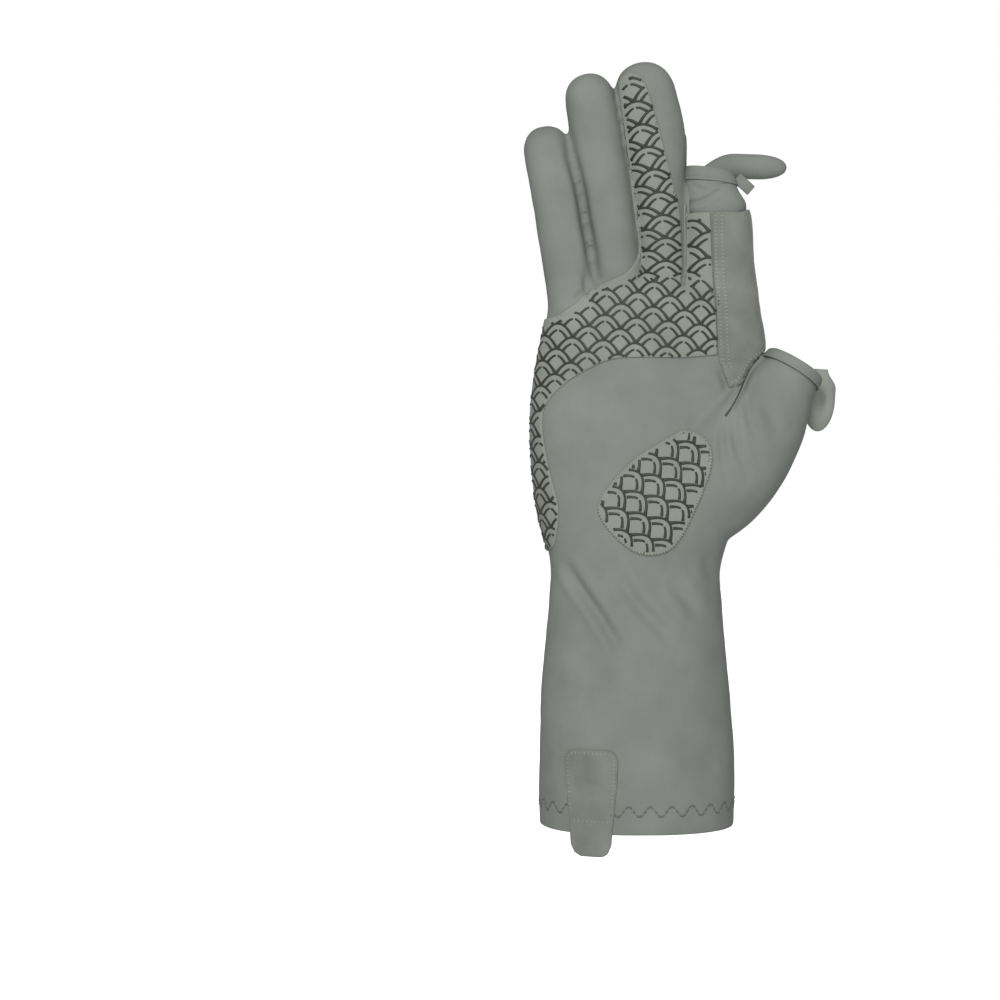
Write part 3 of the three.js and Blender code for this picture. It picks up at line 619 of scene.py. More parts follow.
def body_sheet():
    """The body's points with a column for each field, and its triangles."""
    points, faces = worn_form()
    normals = normals_of(points, faces)
    moved = fold_depths(points, normals) + 0.16 * waves(points, 26, 3) + 0.05 * waves(points, 9, 4)
    points = points + normals * moved[:, None]
    height = points[:, 2]
    in_index = np.abs(points[:, 0] - INDEX_END[0]) < INDEX_RADIUS
    mouth = rise(height, INDEX_END[2] - MOUTH_TAPER, INDEX_END[2]) * in_index
    points[:, :2] -= (points[:, :2] - INDEX_END[:2]) * (MOUTH_NARROWS * mouth)[:, None]
    front = points[:, [0, 2]]
    past, outside, from_axis = thumb_coordinates(points)
    index_axis = np.linalg.norm(points[:, :2] - INDEX_END[:2], axis=1)
    index_edge = INDEX_END[2] - MOUTH_DEPTH + MOUTH_STEP * rise(points[:, 0], *MOUTH_RISES)
    index_open = np.maximum(index_edge - height, index_axis - INDEX_RADIUS)
    below_mouth = index_open - 0.15
    index_open = np.maximum(index_open, MIDDLE_FINGER_SIDE - points[:, 0])
    thumb_open = np.maximum(-past, from_axis - THUMB_RADIUS)
    gusset_side = rise(points[:, 1], -3, 3)
    gusset = inside_distance(front, GUSSET_FRONT) * (1 - gusset_side)
    gusset += inside_distance(front, GUSSET_BACK) * gusset_side
    off_thumb = np.where((height < FORK_HEIGHT) & (points[:, 1] < 0), WELL_INSIDE, outside - OFF_THUMB)
    on_palm = seam_line(height) - points[:, 1]
    columns = [
        height,
        on_palm,
        np.minimum(index_open, thumb_open),
        np.minimum(np.minimum(inside_distance(front, GRIP_OUTLINE), on_palm), below_mouth),
        np.minimum(inside_distance(front, HEEL_OUTLINE), on_palm),
        np.minimum(np.minimum(gusset, off_thumb), below_mouth),
        np.minimum(inside_distance(front, TAB_OUTLINE), on_palm),
    ]
    return np.column_stack([points, *columns]), faces


def refined(points, faces, column, levels):
    """A sheet whose triangles are split near an edge, so that the edge can be rounded there."""
    for level in levels:
        points, faces = score(points, faces, column, level)
    return points, faces


def panel(points, faces, side):
    """One main panel, front or back, open at the cuff, the index finger and the thumb."""
    overlap, round_edge = 0.02, 0.9
    points = points.copy()
    points[:, SEAM] *= -side
    points, faces = clip(points, faces, BASE)
    points, faces = clip(points, faces, OPEN)
    points, faces = clip(points, faces, SEAM, -overlap)
    points, faces = refined(points, faces, SEAM, (0.2, 0.45, 0.8))
    points, faces = refined(points, faces, BASE, (0.15, 0.5))
    normals = normals_of(points, faces)
    groove = 0.45 * (rounded(points[:, SEAM] + overlap, round_edge) - 1)
    hem = 0.6 * (rounded(points[:, BASE], round_edge) - 1)
    top = np.maximum(groove + hem, -0.7)
    return shell(points, faces, normals, top, np.full(len(points), -CLOTH))


def patch(points, faces, column, low=0.12, high=0.85, radius=0.8):
    """A piece of cloth laid over the body inside a field, with a rounded edge."""
    points, faces = clip(points, faces, column)
    points, faces = refined(points, faces, column, (radius * 0.15, radius * 0.45, radius))
    normals = normals_of(points, faces)
    top = low + (high - low) * np.maximum(0.12, rounded(points[:, column], radius))
    return shell(points, faces, normals, top, np.full(len(points), low - 0.06))


# Pieces lofted as walls: the sleeve, the hems, the folded-back tips and the small strap
def wall_section(low, high, inside, outside, step=0.6):
    """A wall's section with round edges, up the outside and down the inside: heights and offsets."""
    radius, middle = (outside - inside) / 2, (outside + inside) / 2
    turn = np.linspace(0, np.pi, 7)[1:-1]
    up = np.linspace(low + radius, high - radius, max(3, int((high - low) / step)))
    bulge = radius - radius * np.sin(turn)
    heights = [*up, *(high - bulge), *up[::-1], *(low + bulge)]
    edge = radius * np.cos(turn)
    offsets = [*np.full(len(up), outside), *(middle + edge), *np.full(len(up), inside), *(middle - edge)]
    return np.column_stack([heights, offsets])


def looped(rings):
    """A closed wall through rings, of which the last meets the first again."""
    rings = np.array(rings)
    return rings.reshape(-1, 3), np.concatenate(bands(*rings.shape[:2], closed=True))


def crease(heights, offsets, inside, lines, depth=0.3, half=0.45):
    """Offsets of a wall's outside, pressed in along lines of stitching."""
    pressed = offsets.copy()
    for line in lines:
        pressed -= depth * np.exp(-(((heights - line) / half) ** 2)) * (offsets > inside)
    return pressed


# at: shares of SLEEVE_TUCK below the seam or SLEEVE_LENGTH above it; width, side, depth: of its own sizes
SLEEVE_ROWS = ((-1, 1, -0.03, 1), (-0.6, 1, -0.03, 1), (-0.35, 1.09, -0.035, 1.02), (0, 1.12, -0.035, 1.02),
               (0.5, 1.03, -0.1, 0.98), (1.15, 0.79, -0.145, 0.92))
INDEX_WIDTH = FINGERS["index"][3]
INDEX_END_SHARE = FINGERS["index"][5][-1][1]
SLEEVE_WIDTH = INDEX_END_SHARE * INDEX_WIDTH - 2 * (WALL + SEAM_GAP)
SLEEVE_DEPTH = 2 * (half_depth(INDEX_END_SHARE) - WALL - 1.5 * SEAM_GAP)
SLEEVE_TABLE = smooth_rows(
    [(at * (SLEEVE_TUCK if at < 0 else SLEEVE_LENGTH), width * SLEEVE_WIDTH / 2, side * INDEX_WIDTH,
      depth * SLEEVE_DEPTH / 2) for at, width, side, depth in SLEEVE_ROWS], 0.5)
MOUTH_DROP = 0.13  # fall of the sleeve's mouth for each millimetre across


def wrinkled(points, centre, amount, pitch, seed):
    """A ring's points moved in and out by a soft swell."""
    return points + unit(points - centre) * (amount * waves(points, pitch, seed))[:, None]


def sleeve_ring(height, offset, wrinkle, sides=84):
    """A ring of the index sleeve, at a height above the seam that it comes out of."""
    half, side, depth = (np.interp(height, SLEEVE_TABLE[:, 0], SLEEVE_TABLE[:, c]) for c in (1, 2, 3))
    centre = INDEX_END + [side, 0, height]
    out = ring(centre, (1, 0, 0), (0, 1, 0), half + offset, depth + offset, depth + offset, sides)
    tilt = np.clip((height + 2) / SLEEVE_LENGTH, 0, 1)
    out[:, 2] -= (out[:, 0] - INDEX_END[0]) * MOUTH_DROP * tilt
    return wrinkled(out, centre, wrinkle, 7, 11)


def index_sleeve_wall():
    section = wall_section(-SLEEVE_TUCK, SLEEVE_LENGTH - 0.1, -1, -0.05)
    points, faces = looped([sleeve_ring(h, o, 0.14) for h, o in section])
    normals = normals_of(points, faces)
    return points + normals * fold_depths(points, normals, SLEEVE_FOLDS)[:, None], faces


def index_hem_wall():
    top = SLEEVE_LENGTH + HEM_PROUD
    section = wall_section(top - INDEX_HEM_HEIGHT, top, 0.02, 0.72, 0.3)
    section[:, 1] = crease(section[:, 0], section[:, 1], 0.5, [top - INDEX_HEM_HEIGHT + 0.9])
    return looped([sleeve_ring(h, o, 0.1) for h, o in section])


def thumb_ring(height, offset, wrinkle, sides=84):
    """A ring round the thumb's open end, at a height past it."""
    at = THUMB[-1, 0] + min(0, height)
    row = [np.interp(at, THUMB[:, 0], THUMB[:, c]) for c in range(1, 6)]
    centre = np.array(row[:3]) + THUMB_ALONG * max(0, height)
    half, depth = row[3] + offset, row[4] + offset
    out = ring(centre, THUMB_ACROSS, THUMB_THROUGH, half, depth, depth, sides)
    return wrinkled(out, centre, wrinkle, 8, 12)


def thumb_hem_wall():
    section = wall_section(HEM_PROUD - THUMB_HEM_HEIGHT, HEM_PROUD, 0.1, 1.25, 0.35)
    section[:, 1] = crease(section[:, 0], section[:, 1], 0.5, [HEM_PROUD - THUMB_HEM_HEIGHT + 1.1])
    return looped([thumb_ring(h, o, 0.12) for h, o in section])


def cuff_hem_wall():
    section = wall_section(0.05, CUFF_HEM_HEIGHT, -WALL - 1.1, -WALL + 0.1)
    return looped([trunk_ring(h, o, 160) for h, o in section])


# A folded-back tip: a flattened pouch, open at its root, that narrows to a round nose
def pouch(root, along, across, length, width, depth, narrows, nose=2.2, wall=0.9, sides=56, root_share=0.94,
          press=None):
    along, across = unit(np.array(along)), unit(np.array(across))
    through = np.cross(along, across)
    turn = np.linspace(0, math.pi / 2, 22)
    at = np.concatenate([np.linspace(0, narrows, 26)[:-1], narrows + (1 - narrows) * np.sin(turn[:-1])])
    past = np.clip((at - narrows) / (1 - narrows), 0, 1)
    shrink = (1 - past**nose) ** (1 / nose) * (root_share + (1 - root_share) * rise(at, 0, 0.3))

    def layer(offset, order):
        rings = []
        for a, s in zip(at[order], shrink[order]):
            half = max(0.15, width / 2 * s + offset)
            thick = max(0.12, depth / 2 * s + offset)
            centre = root + along * a * (length + offset)
            rings.append(ring(centre, across, through, half, thick, thick, sides))
        return rings

    outside = layer(0, np.arange(len(at))[::-1])
    inside = layer(-wall, np.arange(len(at)))
    rings = np.array(outside + inside)
    if press is not None:
        rings = press(rings)
    return loft(rings)


def lowered_root(root, share, drop):
    """Lets a pouch's root sink behind the hem that it is sewn to."""
    def lower(rings):
        away = np.clip(1 - (rings[..., 0] - root) / share, 0, 1.2)
        rings[..., 2] -= drop * away**2
        return rings
    return lower


def front_press(centre, size, depth):
    """Presses a soft dimple into whatever faces the front round a place in the front view."""
    def press(rings):
        x, z = (rings[..., 0] - centre[0]) / size[0], (rings[..., 2] - centre[1]) / size[1]
        rings[..., 1] += depth * np.exp(-(x**2) - z**2)
        return rings
    return press


SLEEVE_END = INDEX_END + [SLEEVE_ROWS[-1][2] * INDEX_WIDTH, 0, 0]
SLEEVE_END_HALF = SLEEVE_ROWS[-1][1] * SLEEVE_WIDTH / 2 + SEAM_GAP + OVERLAY_WALL
SLEEVE_END_DEPTH = SLEEVE_ROWS[-1][3] * SLEEVE_DEPTH / 2 + SEAM_GAP + OVERLAY_WALL
MOUTH_HEIGHT = INDEX_END[2] + SLEEVE_LENGTH


def index_cap_pouch():
    root = np.array([
        SLEEVE_END[0] - 0.024 * INDEX_CAP_LENGTH,
        SLEEVE_END[1] + SLEEVE_END_DEPTH + SEAM_GAP + 0.34 * INDEX_CAP_DEPTH,
        MOUTH_HEIGHT + 0.46 * INDEX_CAP_WIDTH,
    ])
    return pouch(root, (1, 0, -0.03), (0.03, 0, 1), INDEX_CAP_LENGTH, INDEX_CAP_WIDTH, INDEX_CAP_DEPTH, 0.62,
                 press=lowered_root(root[0], 0.38 * INDEX_CAP_LENGTH, 5))


def thumb_cap_pouch():
    half, depth = THUMB[-1, 4] + SEAM_GAP + OVERLAY_WALL, THUMB[-1, 5] + SEAM_GAP + OVERLAY_WALL
    root = THUMB_END + THUMB_ACROSS * 0.76 * half + THUMB_ALONG * 0.4 * half
    root[1] = THUMB_END[1] + depth + SEAM_GAP - 0.09 * THUMB_CAP_DEPTH
    root[0] += 1.4
    width = 0.82 * THUMB_CAP_WIDTH
    return pouch(root, (-0.06, 0, -1), (1, 0, -0.06), THUMB_CAP_LENGTH, width, THUMB_CAP_DEPTH,
                 0.5, 2, root_share=0.45,
                 press=front_press((root[0] - 1, root[2] - 0.5 * THUMB_CAP_LENGTH), (1.9, 4), 2.6))


def index_tab_strap():
    along, across = np.array([0.75, 0, -0.66]), np.array([0.66, 0, 0.75])
    root = np.array([SLEEVE_END[0] + SLEEVE_END_HALF + 1.4, SLEEVE_END[1], MOUTH_HEIGHT - 2])
    stations = ((0, 0.9), (0.02, 1), (0.25, 1.02), (0.5, 1), (0.75, 1), (0.96, 1), (0.99, 0.93), (1, 0.75))
    rings = []
    for at, share in stations:
        centre = root + along * at * (INDEX_TAB_REACH + 1) - [0, 0.5 * math.sin(at * math.pi), 0]
        half, thick = INDEX_TAB_WIDTH / 2 * share, INDEX_TAB_THICKNESS / 2 * share
        rings.append(ring(centre, across, np.cross(along, across), half, thick, thick, 40, 5))
    return loft(rings)


WELL_BEFORE = 90.0  # from here rays go back to meet the palm side

# Charts. A chart is a grid of places on the body, by which a flat drawing is laid on it.
def body_tree(points, faces):
    return BVHTree.FromPolygons([tuple(p) for p in points[:, :3]], [tuple(f) for f in faces])


class Chart:
    """Places on the body over a grid of two flat coordinates: across and up."""

    def __init__(self, places, across, up):
        self.places, self.across, self.up = places, across, up
        over = np.gradient(places, across[1] - across[0], axis=1)
        rises = np.gradient(places, up[1] - up[0], axis=0)
        self.normals = unit(np.cross(over, rises))

    def at(self, flat):
        """Places and normals for flat points; not a number where the chart has no place."""
        a = (flat[:, 0] - self.across[0]) / (self.across[1] - self.across[0])
        b = (flat[:, 1] - self.up[0]) / (self.up[1] - self.up[0])
        outside = (a < 0) | (b < 0) | (a > len(self.across) - 1.001) | (b > len(self.up) - 1.001)
        a, b = np.clip(a, 0, len(self.across) - 1.001), np.clip(b, 0, len(self.up) - 1.001)
        i, j = a.astype(int), b.astype(int)
        s, t = (a - i)[:, None], (b - j)[:, None]
        out = []
        for grid in (self.places, self.normals):
            low = grid[j, i] * (1 - s) + grid[j, i + 1] * s
            high = grid[j + 1, i] * (1 - s) + grid[j + 1, i + 1] * s
            out.append(low * (1 - t) + high * t)
        out[0][outside] = np.nan
        return out[0], unit(out[1])


def front_chart(tree, across, up):
    """The body as it is seen straight from the front."""
    places = np.full((len(up), len(across), 3), np.nan)
    for j, z in enumerate(up):
        for i, x in enumerate(across):
            hit = tree.ray_cast(Vector((x, -WELL_BEFORE, z)), Vector((0, 1, 0)))[0]
            if hit is not None:
                places[j, i] = hit
    return Chart(places, across, up)


def round_chart(tree, across, up):
    """The body unrolled: across is the way round its section from the middle line of the palm."""
    places = np.zeros((len(up), len(across), 3))
    turns = np.linspace(math.radians(-4), math.radians(-200), 160)
    for j, z in enumerate(up):
        found = []
        for turn in turns:
            hit = tree.ray_cast(Vector((0, -1, z)), Vector((math.cos(turn), math.sin(turn), 0)))[0]
            if hit is not None:
                found.append(hit)
        found = np.array(found)
        way = way_along(found[:, :2])
        middle = np.argmin(np.abs(found[:len(turns) // 2, 0]))
        flat = way[middle] - way
        for axis in range(3):
            places[j, :, axis] = np.interp(across, flat[::-1], found[::-1, axis])
    return Chart(places, across, up)


# The print: dark raised lines in overlapping scales
ROW_STEP = np.array([11.8, -1.24])  # from one scale to the next in its row
ROW_PITCH = np.array([-0.65, -9.6])  # from one row to the next but one
FIRST_PEAK = np.array([-6.85, 187.5])
CLOTH_TOP = 0.85  # of the grips' cloth over the body
PRINT_HEIGHT = 0.3


def scale_lines(peak, across, down):
    """One scale's lines with their half widths: its edge, and the two short lines inside it."""
    t = np.linspace(-1, 1, 25)
    lines = [(peak + t[:, None] * across / 2 + (t**2)[:, None] * down / 2, 0.44 + 0.28 * np.abs(t) ** 3)]
    inner = smooth_rows([(0.07, 0.26), (0.25, 0.315), (0.45, 0.43), (0.62, 0.555)], 0.05)
    width = 0.43 + 0.17 * rise(inner[:, 0], 0.2, 0.7)
    width[0] *= 0.7
    for side in (-1, 1):
        lines.append((peak + side * inner[:, :1] * across / 2 + inner[:, 1:] * down, width))
    return lines


def kept_runs(flat, width, keep):
    """The stretches of a line whose points are kept."""
    runs, start = [], None
    for i, k in enumerate([*keep, False]):
        if k and start is None:
            start = i
        if not k and start is not None:
            if i - start > 1:
                runs.append((flat[start:i], width[start:i]))
            start = None
    return runs


def ribbon(chart, flat, width, lift=CLOTH_TOP):
    """A raised line of print over a chart."""
    way = unit(np.gradient(flat, axis=0))
    side = np.stack([-way[:, 1], way[:, 0]], 1) * width[:, None]
    top = PRINT_HEIGHT
    section = ((-1, -0.1), (-0.92, 0.14), (-0.45, top), (0.45, top), (0.92, 0.14), (1, -0.1))
    rows = []
    for share, height in section:
        places, normals = chart.at(flat + side * share)
        rows.append(places + normals * (lift + height))
    rings = np.stack(rows, 1)
    if not np.isfinite(rings).all():
        return None
    points, faces = loft(rings)
    a, b, c = (points[faces[:, k]] for k in range(3))
    if np.einsum("ij,ij->i", a, np.cross(b, c)).sum() < 0:
        faces = faces[:, ::-1]
    return points, faces


def print_over(chart, lines, allowed):
    """All the ribbons of some lines, cut off where the print isn't allowed."""
    made = []
    for flat, width in lines:
        places, _ = chart.at(flat)
        keep = np.isfinite(places).all(1)
        keep &= allowed(np.where(keep[:, None], places, 0))
        for run in kept_runs(flat, width, keep):
            one = ribbon(chart, *run)
            if one:
                made.append(one)
    return made


def lattice(first, step, pitch, columns, rows):
    """Peaks of scales in staggered rows."""
    for j in range(*rows):
        for i in range(*columns):
            yield first + (i + (j % 2) / 2) * step + j / 2 * pitch


# The middle finger's strip of print bends with the finger: places down its middle, and its scales' sizes
STRIP_MIDDLE = np.array([(-3.9, 281.5), (-1.9, 273.6), (0.2, 264.8), (2.5, 255.9), (4.7, 247.9), (6.9, 239.5),
                         (8.6, 230.8), (10, 221.6), (10.3, 213.6), (10.2, 203)])
STRIP_FIRST = 2  # the place in that list where a scale's peak lies
STRIP_STEP, STRIP_PITCH = np.array([13.2, 0]), np.array([0, -8.7])
STRIP_START, STRIP_SIDE = 207.5, -12  # the strips lie above and to the right of these
STRIP_NEAR = 3  # over which the strip's direction is taken
INDEX_PEAK, INDEX_STEP, INDEX_PITCH = np.array([20, 219.6]), np.array([13.4, 0.2]), np.array([-0.6, -9.7])
FINGER_PARTING = 17.2  # between the two strips
PRINT_MARGIN = (-1.4, 1.9)  # plain cloth left of the print and above it
PRINT_BELOW_MOUTH = 2.6


def bent(flat):
    """Points across and down the middle finger's strip, brought to the front view."""
    path = smooth_path(STRIP_MIDDLE)
    way = way_along(path)
    down = way[STRIP_FIRST * PATH_STEPS] - flat[:, 1]
    along = unit(at_way(path, way, down + STRIP_NEAR) - at_way(path, way, down - STRIP_NEAR))
    return at_way(path, way, down) + flat[:, :1] * np.stack([-along[:, 1], along[:, 0]], 1)


def palm_print(tree):
    rounds = round_chart(tree, np.arange(-78, 36, 1.0), np.arange(94, 216, 1.5))
    front = front_chart(tree, np.arange(-14, 34, 0.75), np.arange(196, 291, 0.75))

    def inside(places, margin):
        flat = places[:, [0, 2]]
        clear = inside_distance(flat, GRIP_OUTLINE) > margin
        return clear & (inside_distance(flat + PRINT_MARGIN, GRIP_OUTLINE) > margin)

    def in_strips(places):
        return (places[:, 2] > STRIP_START) & (places[:, 0] > STRIP_SIDE)

    def on_palm(places):
        return inside(places, 0.25) & (places[:, 1] < seam_line(places[:, 2]) - 1) & ~in_strips(places)

    def on_middle(places):
        return inside(places, 0.4) & in_strips(places) & (places[:, 0] < FINGER_PARTING)

    def on_index(places):
        below_mouth = places[:, 2] < INDEX_END[2] - MOUTH_DEPTH - PRINT_BELOW_MOUTH
        return inside(places, 0.25) & in_strips(places) & (places[:, 0] > FINGER_PARTING) & below_mouth

    parts = []
    for peak in lattice(FIRST_PEAK, ROW_STEP, ROW_PITCH, (-8, 6), (-6, 20)):
        parts += print_over(rounds, scale_lines(peak, ROW_STEP, ROW_PITCH), on_palm)
    for peak in lattice(np.zeros(2), STRIP_STEP, STRIP_PITCH, (-2, 2), (-5, 16)):
        lines = [(bent(flat), width) for flat, width in scale_lines(peak, STRIP_STEP, STRIP_PITCH)]
        parts += print_over(front, lines, on_middle)
    for peak in lattice(INDEX_PEAK, INDEX_STEP, INDEX_PITCH, (-2, 2), (-4, 5)):
        parts += print_over(front, scale_lines(peak, INDEX_STEP, INDEX_PITCH), on_index)
    return joined(parts)


HEEL_STEP = np.array([9.07, -9.73])
HEEL_PITCH = np.array([-6.5, -6.03])
HEEL_PEAK = np.array([14.1, 137.4])
HEEL_MARGIN = 1.1
HEEL_SPREAD, HEEL_SHARE = 1.02, 0.86  # of the rows, and how much of its place each scale fills across


def heel_print(tree):
    chart = front_chart(tree, np.arange(-18, 30, 0.75), np.arange(100, 152, 0.75))

    def allowed(places):
        return inside_distance(places[:, [0, 2]], HEEL_OUTLINE) > HEEL_MARGIN

    lines = [line for peak in lattice(HEEL_PEAK, HEEL_STEP, HEEL_PITCH * HEEL_SPREAD, (-4, 5), (-4, 10))
             for line in scale_lines(peak, HEEL_STEP * HEEL_SHARE, HEEL_PITCH)]
    return joined(print_over(chart, lines, allowed))


# Nodes
def add_node(tree, kind, inputs, **settings):
    """A node with its settings, whose inputs are values or other nodes' outputs."""
    made = tree.nodes.new(kind)
    for name, value in settings.items():
        setattr(made, name, value)
    for label, value in inputs.items():
        if isinstance(value, bpy.types.NodeSocket):
            tree.links.new(value, made.inputs[label])
        else:
            made.inputs[label].default_value = value
    return made


def maths(tree, operation, *values):
    return add_node(tree, "ShaderNodeMath", dict(enumerate(values)), operation=operation).outputs["Value"]


# Stitches. Rows of them are points with a direction and a normal, and a node tree lays a thread on each.
def stitch_tree():
    tree = bpy.data.node_groups.new("laid_stitches", "GeometryNodeTree")
    sockets = tree.interface
    sockets.new_socket("Points", in_out="INPUT", socket_type="NodeSocketGeometry")
    for name, default in (("Length", 1.8), ("Width", 0.5), ("Height", 0.4), ("Unevenness", 0.15)):
        socket = sockets.new_socket(name, in_out="INPUT", socket_type="NodeSocketFloat")
        socket.default_value = default
    sockets.new_socket("Seed", in_out="INPUT", socket_type="NodeSocketInt").default_value = 5
    sockets.new_socket("Thread", in_out="INPUT", socket_type="NodeSocketMaterial")
    sockets.new_socket("Stitches", in_out="OUTPUT", socket_type="NodeSocketGeometry")
    given = tree.nodes.new("NodeGroupInput").outputs
    bead = add_node(tree, "GeometryNodeMeshUVSphere", {"Segments": 6, "Rings": 5, "Radius": 0.5 * MM})
    size = add_node(tree, "ShaderNodeCombineXYZ", {
        "X": given["Length"],
        "Y": given["Width"],
        "Z": given["Height"],
    })
    thread = add_node(tree, "GeometryNodeTransform", {
        "Geometry": bead.outputs["Mesh"],
        "Scale": size.outputs["Vector"],
    })
    normal, direction = (
        add_node(tree, "GeometryNodeInputNamedAttribute", {"Name": name}, data_type="FLOAT_VECTOR")
        for name in ("normal", "direction")
    )
    turn = add_node(tree, "FunctionNodeAxesToRotation", {
        "Primary Axis": normal.outputs["Attribute"],
        "Secondary Axis": direction.outputs["Attribute"],
    }, primary_axis="Z", secondary_axis="X")
    uneven = add_node(tree, "FunctionNodeRandomValue", {
        "Min": maths(tree, "SUBTRACT", 1, given["Unevenness"]),
        "Max": maths(tree, "ADD", 1, given["Unevenness"]),
        "Seed": given["Seed"],
    }, data_type="FLOAT_VECTOR")
    laid = add_node(tree, "GeometryNodeInstanceOnPoints", {
        "Points": given["Points"],
        "Instance": thread.outputs["Geometry"],
        "Rotation": turn.outputs["Rotation"],
        "Scale": uneven.outputs["Value"],
    })
    real = add_node(tree, "GeometryNodeRealizeInstances", {"Geometry": laid.outputs["Instances"]})
    smooth = add_node(tree, "GeometryNodeSetShadeSmooth", {"Geometry": real.outputs["Geometry"]})
    dye = add_node(tree, "GeometryNodeSetMaterial", {
        "Geometry": smooth.outputs["Geometry"],
        "Material": given["Thread"],
    })
    add_node(tree, "NodeGroupOutput", {"Stitches": dye.outputs["Geometry"]})
    return tree


STITCHES = stitch_tree()
STITCH_SOCKETS = [item for item in STITCHES.interface.items_tree if item.in_out == "INPUT"]
STITCH_INPUTS = {item.name: item.identifier for item in STITCH_SOCKETS}


def sewn(name, rows, thread, **sizes):
    """One mesh of stitches from rows of places, directions and normals."""
    places, directions, normals = (np.concatenate([row[k] for row in rows]) for k in range(3))
    mesh = bpy.data.meshes.new(name + "_points")
    mesh.vertices.add(len(places))
    mesh.vertices.foreach_set("co", (places * MM).astype(np.float32).ravel())
    for label, values in (("direction", directions), ("normal", normals)):
        field = mesh.attributes.new(label, "FLOAT_VECTOR", "POINT")
        field.data.foreach_set("vector", values.astype(np.float32).ravel())
    points = new_object(name + "_points", mesh)
    modifier = points.modifiers.new("stitches", "NODES")
    modifier.node_group = STITCHES
    for key, value in {**sizes, "Thread": thread}.items():
        modifier[STITCH_INPUTS[key]] = value
    graph = bpy.context.evaluated_depsgraph_get()
    made = bpy.data.meshes.new_from_object(points.evaluated_get(graph))
    made.name = name
    piece = new_object(name, made)
    bpy.data.objects.remove(points)
    bpy.data.meshes.remove(mesh)
    return piece


def evenly(path, pitch, closed=False):
    """Points at an even pitch along a flat line, with the directions there."""
    path = np.array(path, float)
    if closed:
        path = np.concatenate([path, path[:1]])
    way = way_along(path)
    count = max(2, int(round(way[-1] / pitch)))
    at = (np.arange(count) + 0.5) / count * way[-1]
    near = 0.2 * pitch
    return at_way(path, way, at), unit(at_way(path, way, at + near) - at_way(path, way, at - near))


class Skin:
    """Where lines drawn in the front view, or cast from an axis, meet a surface."""

    def __init__(self, points, faces):
        self.tree = body_tree(points, faces)
        self.faces = faces
        self.points = points[:, :3]
        self.normals = normals_of(points, faces)

    def meet(self, starts, ways):
        places = np.full((len(starts), 3), np.nan)
        normals = np.zeros((len(starts), 3))
        for i, (start, way) in enumerate(zip(starts, ways)):
            hit, _, face, _ = self.tree.ray_cast(Vector(start), Vector(way))
            if hit is None:
                continue
            places[i] = hit
            corners = self.faces[face]
            weight = 1 / (1e-6 + np.linalg.norm(self.points[corners] - places[i], axis=1))
            normals[i] = weight @ self.normals[corners]
        return places, unit(normals)

    def front(self, flat):
        starts = np.column_stack([flat[:, 0], np.full(len(flat), -WELL_BEFORE), flat[:, 1]])
        return self.meet(starts, np.tile([0, 1, 0], (len(flat), 1)))


def row_on(skin, flat, directions, lift):
    """A row of stitches for flat points and directions in the front view, lifted off the surface."""
    places, normals = skin.front(flat)
    ways = np.column_stack([directions[:, 0], np.zeros(len(flat)), directions[:, 1]])
    ways -= np.einsum("ij,ij->i", ways, normals)[:, None] * normals
    good = np.isfinite(places).all(1) & (np.abs(normals[:, 1]) > 0.15)
    return places[good] + normals[good] * lift, unit(ways[good]), normals[good]


def turned(directions, degrees):
    angle = math.radians(degrees)
    c, s = math.cos(angle), math.sin(angle)
    x, y = directions.T
    return np.stack([x * c - y * s, x * s + y * c], 1)


def inset(outline, distance):
    """A closed outline moved in by a distance."""
    way = unit(np.gradient(np.concatenate([outline[-1:], outline, outline[:1]]), axis=0)[1:-1])
    side = np.stack([-way[:, 1], way[:, 0]], 1)
    turning = np.cross(outline, np.roll(outline, -1, axis=0)).sum()
    return outline + side * distance * (1 if turning > 0 else -1)


def edge_stitches(skin, outline, pitch, inside, angle, lift, closed=True):
    flat, directions = evenly(inset(outline, inside), pitch, closed)
    return row_on(skin, flat, turned(directions, angle), lift)


CUFF_STITCH_LOW, CUFF_STITCH_HIGH, CUFF_STITCH_PITCH = 7, 10.6, 8
ZIGZAG_PARTS = 3


def cuff_zigzag(skin):
    """The wide zigzag that holds the cuff's hem, in short stitches, and a point for each stitch."""
    circle = trunk_ring(CUFF_STITCH_LOW, 0, 200)
    around = np.linalg.norm(np.diff(np.concatenate([circle, circle[:1]]), axis=0), axis=1).sum()
    turns = int(round(around / CUFF_STITCH_PITCH))
    steps = np.arange(turns * 2 * ZIGZAG_PARTS) + 0.5
    along = steps / steps.size * around
    phase = steps / ZIGZAG_PARTS % 2
    share = 0.5 - 0.5 * np.cos(np.pi * phase)
    height = CUFF_STITCH_LOW + share * (CUFF_STITCH_HIGH - CUFF_STITCH_LOW)
    flat = at_way(circle[:, :2], way_along(circle), along)
    outwards = unit(flat)
    starts = np.column_stack([np.zeros(len(flat)), np.zeros(len(flat)), height])
    places, normals = skin.meet(starts, np.column_stack([outwards, np.zeros(len(flat))]))
    ahead = np.roll(places, -1, axis=0) - np.roll(places, 1, axis=0)
    ahead[:, 2] = 0
    climb = np.sin(np.pi * phase) * np.pi * (CUFF_STITCH_HIGH - CUFF_STITCH_LOW) / CUFF_STITCH_PITCH
    directions = unit(ahead) + climb[:, None] * [0, 0, 1]
    return places + normals * 0.1, directions, normals


# Materials. The effects that several of them share are node groups.
def effect_group(name, inputs, outputs):
    group = bpy.data.node_groups.new(name, "ShaderNodeTree")
    for label, default in inputs:
        socket = group.interface.new_socket(label, in_out="INPUT", socket_type="NodeSocketFloat")
        socket.default_value = default
    for label in outputs:
        group.interface.new_socket(label, in_out="OUTPUT", socket_type="NodeSocketFloat")
    return group, group.nodes.new("NodeGroupInput"), group.nodes.new("NodeGroupOutput")


